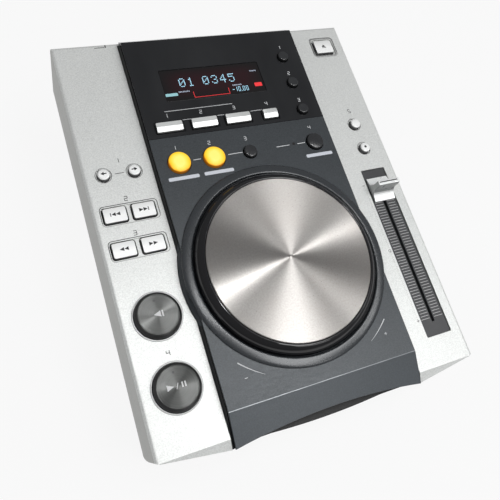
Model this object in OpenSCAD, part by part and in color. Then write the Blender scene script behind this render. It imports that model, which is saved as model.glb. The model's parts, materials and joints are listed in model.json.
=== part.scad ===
// Tabletop disc player with a jog wheel and a front disc slot, in millimetres.
// X is to the right, Y to the rear, Z up; the middle of the footprint is the origin.
// The top face slopes down to the front, and most pieces are placed on it:
// u from its left edge, v from its front edge to the rear, w square to it.

/* [Case] */
// Width of the sloped top face
top_w = 215; // [213:1:225]
// Depth of the sloped top face
top_d = 266.7; // [264:0.1:280]
// Slope of the top face, in degrees
slope = 6.5; // [6:0.1:7]
// Height of the top face's front edge above the table
front_h = 69; // [68:0.5:75]
// Depth of the upper case's side, square to the top face
shell_h = 40; // [38:0.5:44]
// Outward draft of each side over that depth
draft = 1.5; // [0.5:0.1:2.5]
// Wall of the upper and lower case
wall = 2.5; // [2:0.1:3]
// Corner radius of the case, seen from above
corner_r = 6; // [4:0.5:9]
// Radius of the long top edges
edge_r = 2.4; // [1:0.1:3]
// How far the front lip stands out where a wing meets the centre deck
lip_out = 6.1; // [5:0.1:7]
// Fall of the front bevel for each millimetre forward
bevel = 0.55; // [0.4:0.01:0.7]
// How far the lower case stands in from the upper one
base_inset = 1.5; // [1:0.1:2.2]
// How far its sides lean in for each millimetre down
base_lean = 0.055; // [0.04:0.005:0.07]

/* [Feet and fixings] */
// Height of a rubber foot
foot_h = 4; // [3:0.5:6]
// Radius of a rubber foot
foot_r = 9; // [7:0.5:11]
// Radius of a case screw's shank
screw_r = 1.5; // [1.2:0.1:1.8]
// Radius of a case screw's head
screw_head_r = 2.8; // [2.5:0.1:3.2]
// Radius of the posts that the case screws enter
boss_r = 3.5; // [3:0.1:3.6]

/* [Centre deck] */
// Width of the centre deck's top
panel_w = 126; // [125:0.5:127]
// Height of the centre deck above the wings
deck_rise = 6.5; // [6:0.1:7.5]
// Thickness of the deck panel and of the display fascia
panel_t = 2; // [1.6:0.1:2.4]
// Sideways spread of the deck's black flank at its foot
flank = 1.3; // [0.8:0.1:1.8]
// Distance of the fold line from the top face's front edge
fold_v = 13.6; // [12:0.1:16]
// Fall of the front apron for each millimetre forward
apron = 0.365; // [0.3:0.005:0.42]
// Radius of the finger scoop in the front edge
scoop_r = 400; // [350:10:500]
// How far the scoop's middle stands in front of the top face
scoop_v = 1.3; // [0.8:0.1:2]
// Run of the rear bevel of the deck
rear_bevel = 5.7; // [5:0.1:7]
// Place of the joint between the deck panel and the display fascia
fascia_v = 186.3; // [184:0.1:187]

/* [Jog wheel] */
// Place of the jog wheel's axis from the front
jog_v = 89.6; // [88:0.1:91]
// Radius of the brushed disc
disc_r = 53.1; // [50:0.1:54]
// Outer radius of the jog rim
rim_r = 59.4; // [58:0.1:59.6]
// Outer radius of the fixed ring round the jog wheel
ring_r = 66.5; // [66:0.1:67]
// Height of that ring above the deck
ring_rise = 2.2; // [1.4:0.1:3]
// Height of the brushed disc's face above the wings
disc_top = 14.4; // [13.5:0.1:16]
// Radius of the jog shaft
shaft_r = 3; // [2.5:0.1:4]
// Radius of the slotted sensor wheel under the jog
encoder_r = 22; // [18:0.5:24]

/* [Left wing controls] */
// Distance of the big buttons' line from the left edge
big_u = 22; // [21:0.1:22.5]
// Place of the upper big button
cue_v = 77; // [76:0.1:79]
// Place of the lower big button
play_v = 35.2; // [33:0.1:37]
// Radius of a big button
big_r = 13.5; // [12:0.1:14]
// Height of a big button above the wing
big_top = 4.4; // [3.6:0.1:6]
// Width of the chrome trim round a big button
trim_w = 1; // [0.8:0.1:1.6]
// Width of a search key
key_w = 13.6; // [12:0.1:14]
// Depth of a search key
key_d = 9.4; // [8:0.1:10]
// Distance between the two keys of a pair
key_pitch = 17.6; // [17.4:0.1:18.4]
// Place of the upper key pair
track_v = 142.8; // [142:0.1:144]
// Distance between the two key pairs
row_pitch = 22.6; // [21.5:0.1:23.5]
// Height of a key above the wing
key_top = 1.6; // [1:0.1:2.5]
// Radius of the small round silver buttons
pip_r = 3.7; // [3:0.1:4.2]
// Height of the small round silver buttons
pip_top = 2.8; // [2:0.1:3.5]
// Place of the small pair above the keys
folder_v = 169.8; // [168:0.1:171]
// Distance between that pair
folder_pitch = 19.1; // [18:0.1:20]

/* [Right wing controls] */
// Distance of the right controls' line from the right edge
right_in = 18.2; // [17:0.1:19]
// Place of the eject key
eject_v = 247.6; // [246:0.1:248]
// Width of the eject key
eject_w = 14.4; // [13:0.1:15]
// Depth of the eject key
eject_d = 10.8; // [10:0.1:12]
// Place of the upper round button
range_v = 179; // [177:0.1:181]
// Place of the lower round button
lock_v = 159; // [157:0.1:161]
// Width of the fader's dark plate
fader_w = 19.5; // [18:0.1:20]
// Length of the fader's dark plate
fader_len = 123.5; // [122:0.1:125]
// Place of the middle of the fader
fader_v = 80.5; // [80:0.1:81]
// Full travel of the fader
fader_travel = 100; // [96:1:100]
// Where the knob stands, rearwards from the middle
knob_at = 45.5; // [40:0.5:47]
// Width of the fader knob
knob_w = 16.8; // [15:0.1:17.5]
// Length of the fader knob
knob_len = 18.2; // [16:0.1:18.5]
// Height of the fader knob's bar
knob_top = 12.6; // [10:0.1:14]

/* [Centre controls] */
// Place of the row of loop buttons
loop_v = 167.3; // [166.5:0.1:168]
// Radius of the two lit buttons
loop_r = 7.2; // [6.5:0.1:7.6]
// Radius of the smallest loop button
reloop_r = 4.5; // [4:0.1:5]
// Radius of the last loop button
beat_r = 6; // [5:0.1:6.5]
// Height of the loop buttons above the deck
loop_rise = 2.2; // [1.6:0.1:3]
// Width of an effect key
bar_w = 17.4; // [16:0.1:18]
// Depth of an effect key
bar_d = 6.5; // [5.5:0.1:7]
// Height of an effect key above the deck
bar_rise = 2.1; // [1.6:0.1:3]
// Slope of the front half of its top, in degrees
bar_slope = 18; // [10:1:22]
// Width of the well round an effect key
bar_well = 1.4; // [0.8:0.1:2]
// Width of the short key at the end of their row
short_w = 10.5; // [9:0.1:12]
// Place of the row of effect keys
bar_v = 193.2; // [193:0.1:194]
// Distance between the keys of that row
bar_pitch = 23.8; // [23:0.1:24]
// Radius of the small black buttons
dot_r = 3.9; // [3:0.1:4.2]
// Distance between the small black buttons
dot_pitch = 22.1; // [21.5:0.1:22.5]
// Width of the display window
window_w = 72; // [68:0.5:74]
// Depth of the display window
window_d = 24.6; // [22:0.1:26]
// Place of the middle of the display window
window_v = 224.2; // [224:0.1:225]

/* [Disc drive] */
// Diameter of the disc that goes in
disc_d = 120; // [120:1:120]
// Clear height of the disc's way
way_h = 5.4; // [5:0.1:5.5]
// Height of the way's floor above the table
way_z = 58.8; // [58.7:0.1:59]
// Distance of the disc spindle from the top face's front edge
spindle_y = 75; // [74:0.5:77]
// Radius of the rubber feed roller
roller_r = 4; // [3:0.1:4.2]
// Radius of the roller's shaft and of the clamp's pins
pin_r = 1.5; // [1.2:0.1:1.8]
// Thickness of the drive's steel chassis
chassis_t = 1.6; // [1.2:0.1:2]
// Travel of the laser pickup
pickup_travel = 34; // [30:1:35]
// Radius of the pickup's guide rods
rod_r = 1.5; // [1.2:0.1:2]
// Distance between the pickup's guide rods
rod_gap = 38; // [36:0.5:40]

/* [Rear connectors] */
// Radius of a phono socket's sleeve
phono_r = 4.15; // [4.15:0.01:4.15]
// How far the sleeves stand out behind the case
phono_out = 6; // [5:0.5:8]
// Radius of the control socket's bore
control_bore_r = 1.8; // [1.78:0.01:1.85]
// Depth of the control socket's bore
control_bore_len = 14; // [12:0.5:15]
// Distance between the phono sockets
phono_pitch = 16; // [14:0.5:20]

/* [Clearances] */
// Gap round a button in its hole
button_gap = 0.4; // [0.3:0.05:0.5]
// Gap between a button's flange and the plate over it
flange_gap = 0.3; // [0.2:0.05:0.4]
// Radial gap of a running shaft
run_gap = 0.05; // [0.03:0.01:0.08]
// Gap between pieces that are let into each other
seat_gap = 0.15; // [0.1:0.05:0.25]
// Travel of a button
press = 1; // [0.6:0.1:1.1]

/* [Hidden] */

// Overrun of a cutting shape past the face that it opens
cut = 1;
// Overlap that joins two stacked blocks of one piece
bond = 0.01;
// Facets of round shapes, which stay true circles
$fn = 64;

mid_u = top_w / 2;
right_u = top_w - right_in;
search_v = track_v - row_pitch;
panel_u0 = mid_u - panel_w / 2;
flank_u0 = panel_u0 - flank;
// Sweep of a wing's front edge in plan
sweep = atan(lip_out / flank_u0);
case_gap = 0.2;

// Depth of the front edge of the scoop, measured forward, at a distance from the middle
function scoop_at(x) = scoop_v + scoop_r - sqrt(scoop_r * scoop_r - x * x);
panel_tip = scoop_at(panel_w / 2);
panel_tip_w = deck_rise - apron * (fold_v + panel_tip);
front_reach = panel_tip * cos(slope) + panel_tip_w * sin(slope);
rear_reach = top_d * cos(slope);
// Row position of the top face's front edge
front_y = (front_reach - rear_reach - phono_out) / 2;
rear_y = front_y + rear_reach;
// Height of the wing plane above the table at a row position y
function wing_z(y) = front_h + (y - front_y) * tan(slope);

floor_t = wall;
floor_z = foot_h + floor_t;
// Depth of the lower case's sides at the rear, square to the top face
base_drop = (front_h - floor_z) * cos(slope) + rear_reach * sin(slope) - shell_h;
frame_top = deck_rise - panel_t;
frame_t = 2;
frame_under = frame_top - frame_t;
ledge_w = -4;
ledge_t = 2;
ledge_reach = 3;

// Buttons: flange, stem and switch below the plate they pass through
flange_t = 1.2;
flange_reach = 1;
stem_r = 1.5;
stem_len = 1.8;
switch_gap = press + 0.3;
switch_t = 1.3;
switch_w = 6;
board_t = 1.6;
wing_flange_w = -wall - flange_gap;
wing_board_w = wing_flange_w - flange_t - stem_len - switch_gap - switch_t;
deck_flange_w = frame_under - flange_gap;
deck_board_w = deck_flange_w - flange_t - stem_len - switch_gap - switch_t;
post_r = 2;

// Depth of the slot's lower lip below the wings
slot_lip_w = 10.5;

// Disc drive, in row heights
mech_y = front_y + spindle_y;
way_top = way_z + way_h;
chassis_z = way_z - 3.7;
chassis_half = 64;
roller_y = front_y + 13;
// Gap between the disc's way and the roller or the hub under it
way_gap = 0.2;
roller_z = way_z - way_gap - roller_r;
roller_len = 108;
rod_z = chassis_z - 8;
rod_y0 = 10.2;
rod_y1 = 76;
hub_r = 13;
motor_r = 12;
sled_w = rod_gap + 8;
sled_d = 18;
sled_home = 23;
screw_x = rod_gap / 2 + 9;
pivot_y = mech_y + disc_d / 2 + 8;
pivot_z = way_top + 2.4;
arm_half = 28;
post_x = 50;
post_y0 = front_y + 30;
post_y1 = pivot_y;
damper_h = 6;
damper_r = 5;
damper_z = chassis_z - chassis_t - damper_h;

// Rear panel, in row heights
rear_in = rear_y - base_inset - wall;
foot_in = [30, 24];
rear_open_x = 90;
rear_open_z0 = 12;
rear_open_z1 = 50;
rear_lap = 3;
plate_t = 1.6;
jack_z = 34;

module deck() {
  translate([-mid_u, front_y, front_h]) rotate([slope, 0, 0]) children();
}

module deck_at(u, v, w = 0) {
  deck() translate([u, v, w]) children();
}

// Flat rounded rectangle centred on the origin
module pad(x, y, r) {
  square([x - 2 * r, y], center = true);
  square([x, y - 2 * r], center = true);
  for (i = [-1, 1], j = [-1, 1])
    translate([i * (x / 2 - r), j * (y / 2 - r)]) circle(r);
}

module pad_block(x, y, r, z0, z1) {
  translate([0, 0, z0]) linear_extrude(z1 - z0) pad(x, y, r);
}

module disc_block(r, z0, z1) {
  translate([0, 0, z0]) cylinder(r = r, h = z1 - z0);
}

// Case outline on the top face, drawn in by e
module case_half(e) {
  r = corner_r - e;
  cu = -draft + corner_r;
  cv = corner_r / cos(sweep) - cu * tan(sweep);
  polygon([
    [mid_u, top_d + cut], [-draft + e, top_d + cut], [-draft + e, cv], [cu, cv],
    [cu - r * sin(sweep), cv - r * cos(sweep)],
    [flank_u0, -lip_out + e / cos(sweep)], [mid_u, -lip_out + e / cos(sweep)]
  ]);
  translate([cu, cv]) circle(r);
}

module case_plan(e) {
  case_half(e);
  translate([top_w, 0]) mirror([1, 0]) case_half(e);
}

// Side view of the upper case in v and w, drawn in by e
module case_side(e, low) {
  k = sqrt(1 + bevel * bevel);
  far = -3 * lip_out;
  polygon([
    [far, low], [far, bevel * far - e * k], [e * (k - 1) / bevel, -e],
    [top_d - e - edge_r, -e], [top_d - e - 0.3 * edge_r, -e - 0.3 * edge_r],
    [top_d - e, -e - edge_r], [top_d - e + low * tan(slope), low]
  ]);
}

// Front view of the upper case in u and w, drawn in by e
module case_front(e, low) {
  r = edge_r;
  side = [
    [-draft * low / -shell_h + e, low], [e, -r - e],
    for (a = [15:15:90]) [e + r * (1 - cos(a)), -e - r * (1 - sin(a))]
  ];
  polygon(concat(side, [for (i = [len(side) - 1:-1:0]) [top_w - side[i][0], side[i][1]]]));
}

module case_form(e, low) {
  intersection() {
    translate([0, 0, low]) linear_extrude(-low - e) case_plan(e);
    translate([-draft - cut, 0, 0]) rotate([90, 0, 90])
      linear_extrude(top_w + 2 * draft + 2 * cut) case_side(e, low);
    translate([0, top_d + cut, 0]) rotate([90, 0, 0])
      linear_extrude(top_d + 4 * lip_out) case_front(e, low);
  }
}

// The gap between the wings, round the jog ring as well
module deck_opening(grow, z0, z1) {
  translate([flank_u0 - grow, -4 * lip_out, z0])
    cube([panel_w + 2 * flank + 2 * grow, 8 * lip_out, z1 - z0]);
  translate([flank_u0 - grow, 0, ledge_w - ledge_t])
    cube([panel_w + 2 * flank + 2 * grow, top_d - wall, z1 - ledge_w + ledge_t]);
  translate([mid_u, jog_v, 0]) disc_block(ring_r + flank + grow, z0, z1);
}

big_hole_r = big_r + button_gap;
// Shallow wells round the keys of the wings: their depth and their width beyond the keys
well_d = 0.8;
key_well = 1.1;
eject_well = 2;
pair_w = key_pitch + key_w + 2 * key_well;
pair_d = key_d + 2 * key_well;

module wing_cuts() {
  for (v = [cue_v, play_v])
    translate([big_u, v, 0]) disc_block(big_hole_r, -2 * wall, cut);
  for (v = [track_v, search_v]) {
    translate([big_u, v, 0]) pad_block(pair_w, pair_d, 2, -well_d, cut);
    for (s = [-1, 1])
      translate([big_u + s * key_pitch / 2, v, 0])
        pad_block(key_w + 2 * button_gap, key_d + 2 * button_gap, 1.2, -2 * wall, cut);
  }
  for (s = [-1, 1])
    translate([big_u + s * folder_pitch / 2, folder_v, 0])
      round_well();
  for (v = [range_v, lock_v])
    translate([right_u, v, 0]) round_well();
  translate([right_u, eject_v, 0]) {
    pad_block(eject_w + 2 * eject_well, eject_d + 2 * eject_well, 2.4, -well_d, cut);
    pad_block(eject_w + 2 * button_gap, eject_d + 2 * button_gap, 1.4, -2 * wall, cut);
  }
  translate([right_u, fader_v, 0])
    pad_block(fader_w, fader_len, 0.8, -2 * wall, cut);
}

module round_well() {
  disc_block(pip_r + key_well, -well_d, cut);
  disc_block(pip_r + button_gap, -2 * wall, cut);
}

// Row positions of the case screws
screw_x_at = top_w / 2 + draft - base_inset - wall - base_lean * base_drop - boss_r - case_gap;
screw_y_at = [front_y + 14, rear_y - 8.4];
boss_hole = 12;

module upper_case() {
  color("silver") {
    deck() difference() {
      union() {
        difference() {
          case_form(0, -shell_h);
          case_form(wall, -shell_h - cut);
          deck_opening(case_gap, -shell_h - cut, cut);
        }
        wing_ledges();
        wing_board_posts();
      }
      wing_cuts();
    }
    for (x = [-1, 1], y = screw_y_at)
      difference() {
        translate([x * screw_x_at, y, floor_z]) cylinder(r = boss_r, h = wing_z(y) - wall / 2 - floor_z);
        translate([x * screw_x_at, y, floor_z - cut]) cylinder(r = screw_r, h = boss_hole + cut);
      }
  }
}

// Inner walls of the wings, with the ledges that carry the centre frame
module wing_ledges() {
  for (s = [0, 1])
    translate([s * top_w, 0, 0]) mirror([s, 0, 0]) difference() {
      union() {
        translate([flank_u0 - case_gap - wall, fold_v, ledge_w - ledge_t])
          cube([wall, top_d - wall - fold_v, -ledge_w + ledge_t - 0.5]);
        translate([flank_u0 - case_gap - wall, fold_v, ledge_w - ledge_t])
          cube([ledge_reach + wall + case_gap, top_d - wall / 2 - fold_v, ledge_t]);
      }
      translate([mid_u, jog_v, 0]) disc_block(ring_r + flank + case_gap, -4 * wall, cut);
    }
}

module wing_board_posts() {
  for (p = wing_post_at)
    translate([p[0], p[1], 0]) disc_block(post_r, wing_board_w, -wall / 2);
}

left_board_v = [play_v - 9.2, folder_v + 14.2];
right_board_v = [lock_v - 11, eject_v + 5];
left_board_u = [5, 39];
right_board_u = [right_u - 13.8, right_u + 7.8];
post_in = post_r + 0.4;
wing_post_at = [
  for (i = [0, 1], v = [play_v + 21, cue_v + 21, left_board_v[1] - post_in])
    [left_board_u[i] + (1 - 2 * i) * post_in, v],
  for (i = [0, 1], v = [right_board_v[0] + post_in, range_v + 21, range_v + 53])
    [right_board_u[i] + (1 - 2 * i) * post_in, v]
];

// Deck body in side view: v and w, with its top lowered by drop
module deck_side(drop, low) {
  k = sqrt(1 + apron * apron);
  far = -2 * panel_tip;
  lean = rear_bevel / deck_rise;
  back = top_d - rear_bevel - drop * (sqrt(1 + lean * lean) - lean);
  polygon([
    [far, low], [far, deck_rise - apron * (fold_v - far) - drop * k],
    [fold_v - drop * (1 - k) / apron, deck_rise - drop], [back, deck_rise - drop],
    [back + (deck_rise - drop) * lean, 0], [back + (deck_rise - drop) * lean, low]
  ]);
}

module deck_slab(drop, low, half) {
  translate([mid_u - half, 0, 0]) rotate([90, 0, 90]) linear_extrude(2 * half) deck_side(drop, low);
}

// Everything behind the scoop in the front edge
module behind_scoop(back) {
  difference() {
    translate([0, -4 * panel_tip, -shell_h]) cube([top_w, top_d + 4 * panel_tip, 2 * shell_h]);
    translate([mid_u, -scoop_v + back - scoop_r, -shell_h - cut])
      cylinder(r = scoop_r, h = 2 * shell_h + 2 * cut, $fn = 256);
  }
}

// Black flank: wider at its foot, with the round swelling under the jog ring
module flank_form(top) {
  translate([mid_u, top_d, 0]) rotate([90, 0, 0]) linear_extrude(top_d + 3 * panel_tip)
    polygon([
      [-panel_w / 2 - flank, ledge_w], [-panel_w / 2 - flank, 0],
      [-panel_w / 2 - flank * (1 - top / deck_rise), top],
      [panel_w / 2 + flank * (1 - top / deck_rise), top],
      [panel_w / 2 + flank, 0], [panel_w / 2 + flank, ledge_w]
    ]);
}

// Centre frame: its side wall, how far its front stands behind the scoop, and the jog bearing's seat
frame_wall = 1.5;
frame_back = 0.8;
bearing_r = 6;
bearing_boss_r = 9;

module centre_frame() {
  color([0.06, 0.06, 0.07]) deck() difference() {
    union() {
      intersection() {
        flank_form(frame_top);
        deck_slab(panel_t, ledge_w, mid_u);
        behind_scoop(frame_back);
      }
      difference() {
        translate([mid_u, jog_v, 0]) rotate_extrude($fn = 128) polygon([
          [0, 0], [ring_r + flank, 0], [ring_r, deck_rise], [0, deck_rise]
        ]);
        translate([panel_u0 - seat_gap, 0, frame_top])
          cube([panel_w + 2 * seat_gap, top_d, panel_t + cut]);
      }
    }
    difference() {
      intersection() {
        translate([panel_u0 + frame_wall, -5 * panel_tip, ledge_w - cut])
          cube([
            panel_w - 2 * frame_wall, top_d - wall - frame_wall + 5 * panel_tip, frame_under - ledge_w + cut
          ]);
        deck_slab(panel_t + frame_t, ledge_w - cut, mid_u);
      }
      translate([mid_u, jog_v, 0]) disc_block(bearing_boss_r, -3, frame_top);
      for (p = deck_post_at)
        translate([p[0], p[1], 0]) disc_block(post_r, deck_board_w, frame_top);
    }
    translate([mid_u, jog_v, 0]) disc_block(bearing_r + run_gap, -2 * wall, deck_rise);
    translate([window_u, window_v, 0])
      pad_block(window_w + 1, window_d + 1, 0.6, frame_under - cut, frame_top + cut);
    deck_holes();
  }
}

deck_board_u = [panel_u0 + 5.5, panel_u0 + panel_w - 5.5];
deck_board_v = [156, 250];
deck_post_at = [
  for (i = [0, 1], v = [deck_board_v[0] + post_in, bar_v + 10.8, deck_board_v[1] - post_in])
    [deck_board_u[i] + (1 - 2 * i) * post_in, v]
];
window_u = mid_u - 8.1;
bar_u0 = mid_u - 47.7;
dot_u = mid_u + 48.9;
dot_v0 = bar_v + 0.2;
// Loop row: place and radius of each button
loop_at = [[mid_u - 48.3, loop_r], [mid_u - 24.9, loop_r], [mid_u + 0.3, reloop_r], [dot_u, beat_r]];
function bar_at(i) = bar_u0 + i * bar_pitch;
function bar_size(i) = i < 3 ? bar_w : short_w;

module deck_holes() {
  for (p = loop_at)
    translate([p[0], loop_v, 0]) disc_block(p[1] + button_gap, ledge_w, deck_rise + cut);
  for (i = [0:2])
    translate([dot_u, dot_v0 + i * dot_pitch, 0]) disc_block(dot_r + button_gap, ledge_w, deck_rise + cut);
  for (i = [0:3])
    translate([bar_at(i), bar_v, 0])
      pad_block(bar_size(i) + 2 * button_gap, bar_d + 2 * button_gap, 0.8, ledge_w, deck_rise + cut);
}

module bar_wells() {
  for (i = [0:3])
    translate([bar_at(i), bar_v, deck_rise - panel_t / 2]) linear_extrude(panel_t)
      pad(bar_size(i) + 2 * bar_well, bar_d + 2 * bar_well, 1.2);
}

module panel_skin() {
  difference() {
    intersection() {
      flank_form(deck_rise);
      deck_slab(0, ledge_w, panel_w / 2);
      behind_scoop(0);
    }
    deck_slab(panel_t, ledge_w - cut, mid_u);
    translate([mid_u, jog_v, 0]) disc_block(ring_in_r - 0.2, ledge_w, deck_rise + cut);
    translate([0, top_d - wall - 20, ledge_w - cut]) cube([top_w, 40, -ledge_w + cut]);
    deck_holes();
  }
}

module deck_panel() {
  color([0.25, 0.27, 0.29]) deck() intersection() {
    panel_skin();
    translate([0, -4 * panel_tip, -shell_h]) cube([top_w, fascia_v - seat_gap + 4 * panel_tip, 2 * shell_h]);
  }
}

module display_fascia() {
  color([0.12, 0.12, 0.13]) deck() difference() {
    intersection() {
      panel_skin();
      translate([0, fascia_v, -shell_h]) cube([top_w, top_d, 2 * shell_h]);
    }
    bar_wells();
    translate([window_u, window_v, 0])
      pad_block(window_w, window_d, 1, 0, deck_rise + cut);
  }
}

module display_lens() {
  color([0.2, 0.02, 0.04]) deck_at(window_u, window_v)
    pad_block(window_w - 2 * seat_gap, window_d - 2 * seat_gap, 1, frame_top, deck_rise - 0.3);
}

module display_tube() {
  color([0.1, 0.16, 0.18]) deck_at(window_u, window_v)
    pad_block(window_w - 3, window_d - 1, 0.6, deck_board_w, frame_top - 0.4);
}

ring_in_r = rim_r + 0.8;

// Rounded collar: it rises from its outer foot to a crest near its bore
module jog_ring() {
  crest_r = ring_in_r + 0.7;
  foot = 0.4;
  color([0.2, 0.22, 0.24]) deck_at(mid_u, jog_v) rotate_extrude($fn = 128) polygon(concat(
    [[ring_in_r, deck_rise], [ring_r, deck_rise]],
    [for (a = [0:15:90])
      [crest_r + (ring_r - crest_r) * cos(a), deck_rise + foot + (ring_rise - foot) * sin(a)]],
    [[ring_in_r, deck_rise + ring_rise - 0.5]]
  ));
}

// Front plate under the deck, with the disc slot's lower lip
module slot_bezel() {
  lip_r = 520;
  lip_v = lip_out + 0.2;
  lip_t = 6;
  lip_taper = 8;
  slot_half = disc_d / 2 + 1;
  half = panel_w / 2 + flank - 0.1;
  front = -lip_out + 1.2;
  cheek_w = 3.6;
  color([0.05, 0.05, 0.055]) deck() union() {
    translate([mid_u - half, front, -shell_h]) cube([2 * half, wall, shell_h - slot_lip_w]);
    intersection() {
      translate([mid_u - slot_half + lip_taper, -lip_out - cut, -slot_lip_w - lip_t])
        cube([2 * (slot_half - lip_taper), wall + 3, lip_t]);
      translate([mid_u, -lip_v + lip_r, -shell_h]) cylinder(r = lip_r, h = shell_h, $fn = 256);
    }
    for (u = [mid_u - half, mid_u + slot_half])
      translate([u, front, -slot_lip_w - cut]) cube([half - slot_half, wall, slot_lip_w + cut - cheek_w]);
  }
}

// Lower case as a solid, drawn in by e, from the height low to over above the upper case's rim
module base_form(e, low, over) {
  deep = 3 * front_h;
  edge = e - draft;
  ahead = 2 * front_h;
  intersection() {
    deck() translate([0, 0, -shell_h - deep]) linear_extrude(deep + over) case_plan(e);
    deck() translate([0, top_d + cut, -shell_h]) rotate([90, 0, 0]) linear_extrude(top_d + 4 * lip_out)
      polygon([
        [edge + base_lean * deep, -deep], [edge - base_lean * over, over],
        [top_w - edge + base_lean * over, over], [top_w - edge - base_lean * deep, -deep]
      ]);
    translate([-top_w, front_y - ahead, low]) cube([2 * top_w, rear_y - e - front_y + ahead, ahead]);
  }
}

foot_at = [
  for (x = [-1, 1], y = [front_y + foot_in[1], rear_y - foot_in[1]]) [x * (top_w / 2 - foot_in[0]), y]
];

module base_case() {
  color([0.08, 0.08, 0.085]) difference() {
    union() {
      difference() {
        base_form(base_inset, foot_h, 0);
        base_form(base_inset + wall, floor_z, cut);
      }
      for (x = [-1, 1], y = [post_y0, post_y1])
        translate([x * post_x, y, floor_z - cut]) cylinder(r = damper_r + 1, h = damper_z - floor_z + cut);
      for (p = board_post_at)
        translate([p[0], p[1], floor_z - cut]) cylinder(r = board_post_r, h = main_board_z - floor_z + cut);
    }
    translate([-rear_open_x, rear_in - cut, rear_open_z0])
      cube([2 * rear_open_x, wall + 2 * cut, rear_open_z1 - rear_open_z0]);
    for (x = [-1, 1], y = screw_y_at) {
      translate([x * screw_x_at, y, foot_h - cut]) cylinder(r = screw_r + 0.2, h = floor_t + 2 * cut);
      translate([x * screw_x_at, y, foot_h - cut]) cylinder(r = screw_head_r + 0.3, h = cut + 1.2);
    }
  }
}

main_board_z = floor_z + 7;
main_board_x = [-92, 14];
power_board_x = [22, 92];
board_in = 14;
board_y = [post_y1 + board_in, rear_in - board_in];
// Posts under the two boards, and their distance from the boards' edges
board_post_r = 3;
board_post_in = 6;
board_post_at = [
  for (x = [main_board_x, power_board_x], i = [0, 1], j = [0, 1])
    [x[i] + (1 - 2 * i) * board_post_in, board_y[j] + (1 - 2 * j) * board_post_in]
];

module rear_panel() {
  color([0.1, 0.1, 0.1]) difference() {
    translate([-rear_open_x - rear_lap, rear_in - plate_t, rear_open_z0 - rear_lap])
      cube([2 * (rear_open_x + rear_lap), plate_t, rear_open_z1 - rear_open_z0 + 2 * rear_lap]);
    for (x = phono_x)
      translate([x, rear_in + cut, jack_z]) rotate([90, 0, 0])
        cylinder(r = phono_neck_r + seat_gap, h = plate_t + 2 * cut);
    translate([control_x, rear_in + cut, jack_z]) rotate([90, 0, 0])
      cylinder(r = control_neck_r + seat_gap, h = plate_t + 2 * cut);
    translate([inlet_x, rear_in - plate_t / 2, jack_z])
      cube([inlet_w + 2 * seat_gap, plate_t + 2 * cut, inlet_h + 2 * seat_gap], center = true);
    translate([power_x, rear_in - plate_t / 2, jack_z])
      cube([power_w + 2 * button_gap, plate_t + 2 * cut, power_w + 2 * button_gap], center = true);
  }
}

phono_x = [for (i = [0:2]) 8 + i * phono_pitch];
phono_neck_r = 3.4;
phono_hole_r = 1.6;
phono_hole_len = 9;
phono_body = 12;
phono_deep = 9;
control_neck_r = 4;
control_body = 11;
// How far the control and mains sockets reach in behind the rear panel
socket_deep = 14;
control_x = -12;
inlet_x = 72;
inlet_w = 20;
inlet_h = 14;
power_x = -71;
power_w = 9;

module rubber_feet() {
  color([0.05, 0.05, 0.05]) for (p = foot_at)
    translate([p[0], p[1], 0]) rotate_extrude() polygon([
      [0, 0.6], [foot_r * 0.55, 0.6], [foot_r * 0.6, 0], [foot_r * 0.9, 0],
      [foot_r, 0.8], [foot_r, foot_h], [0, foot_h]
    ]);
}

slit_w = 2.2;
slit_len = fader_travel + 5;
fader_plate_w = -0.8;
fader_seat = -wall - 1.5;

module fader_slit(z0, z1, grow) {
  pad_block(slit_w + 2 * grow, slit_len + 2 * grow, 0.6, z0, z1);
}

module fader_plate() {
  color([0.13, 0.13, 0.14]) deck_at(right_u, fader_v) difference() {
    union() {
      pad_block(fader_w - 2 * seat_gap, fader_len - 2 * seat_gap, 0.8, fader_seat, fader_plate_w);
      pad_block(fader_w + 2, fader_len + 2, 1.2, fader_seat, -wall);
    }
    fader_slit(fader_seat - cut, cut, 0);
  }
}

fader_deep = 13;
fader_body_w = 12;

module fader_body() {
  color([0.6, 0.6, 0.58]) deck_at(right_u, fader_v) difference() {
    pad_block(fader_body_w, fader_len, 1, fader_seat - fader_deep, fader_seat);
    fader_slit(fader_seat - fader_deep + wall, fader_seat + cut, 0.6);
  }
}

// A flat board between two corners on the wing plane, under its top height
module flat_board(us, vs, top) {
  translate([us[0], vs[0], top - board_t]) cube([us[1] - us[0], vs[1] - vs[0], board_t]);
}

module switch_block(u, v, top) {
  translate([u, v, 0]) pad_block(switch_w, switch_w, 0.5, top - bond, top + switch_t);
}

module wing_boards() {
  color([0.1, 0.3, 0.15]) deck() {
    flat_board(left_board_u, left_board_v, wing_board_w);
    for (v = [cue_v, play_v]) switch_block(big_u, v, wing_board_w);
    for (s = [-1, 1]) {
      for (v = [track_v, search_v]) switch_block(big_u + s * key_pitch / 2, v, wing_board_w);
      switch_block(big_u + s * folder_pitch / 2, folder_v, wing_board_w);
    }
    flat_board(right_board_u, right_board_v, wing_board_w);
    for (v = [eject_v, range_v, lock_v]) switch_block(right_u, v, wing_board_w);
  }
}

module deck_board() {
  color([0.1, 0.3, 0.15]) deck() {
    flat_board(deck_board_u, deck_board_v, deck_board_w);
    for (p = loop_at) switch_block(p[0], loop_v, deck_board_w);
    for (i = [0:2]) switch_block(dot_u, dot_v0 + i * dot_pitch, deck_board_w);
    for (i = [0:3]) switch_block(bar_at(i), bar_v, deck_board_w);
  }
}

module row_board(xs) {
  translate([xs[0], board_y[0], main_board_z]) cube([xs[1] - xs[0], board_y[1] - board_y[0], board_t]);
}

// A block on a board: its place from the board's left and front edges, and its size
module chip(xs, place, size) {
  translate([xs[0] + place[0], board_y[0] + place[1], main_board_z + board_t + size[2] / 2 - bond])
    cube(size, center = true);
}

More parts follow.
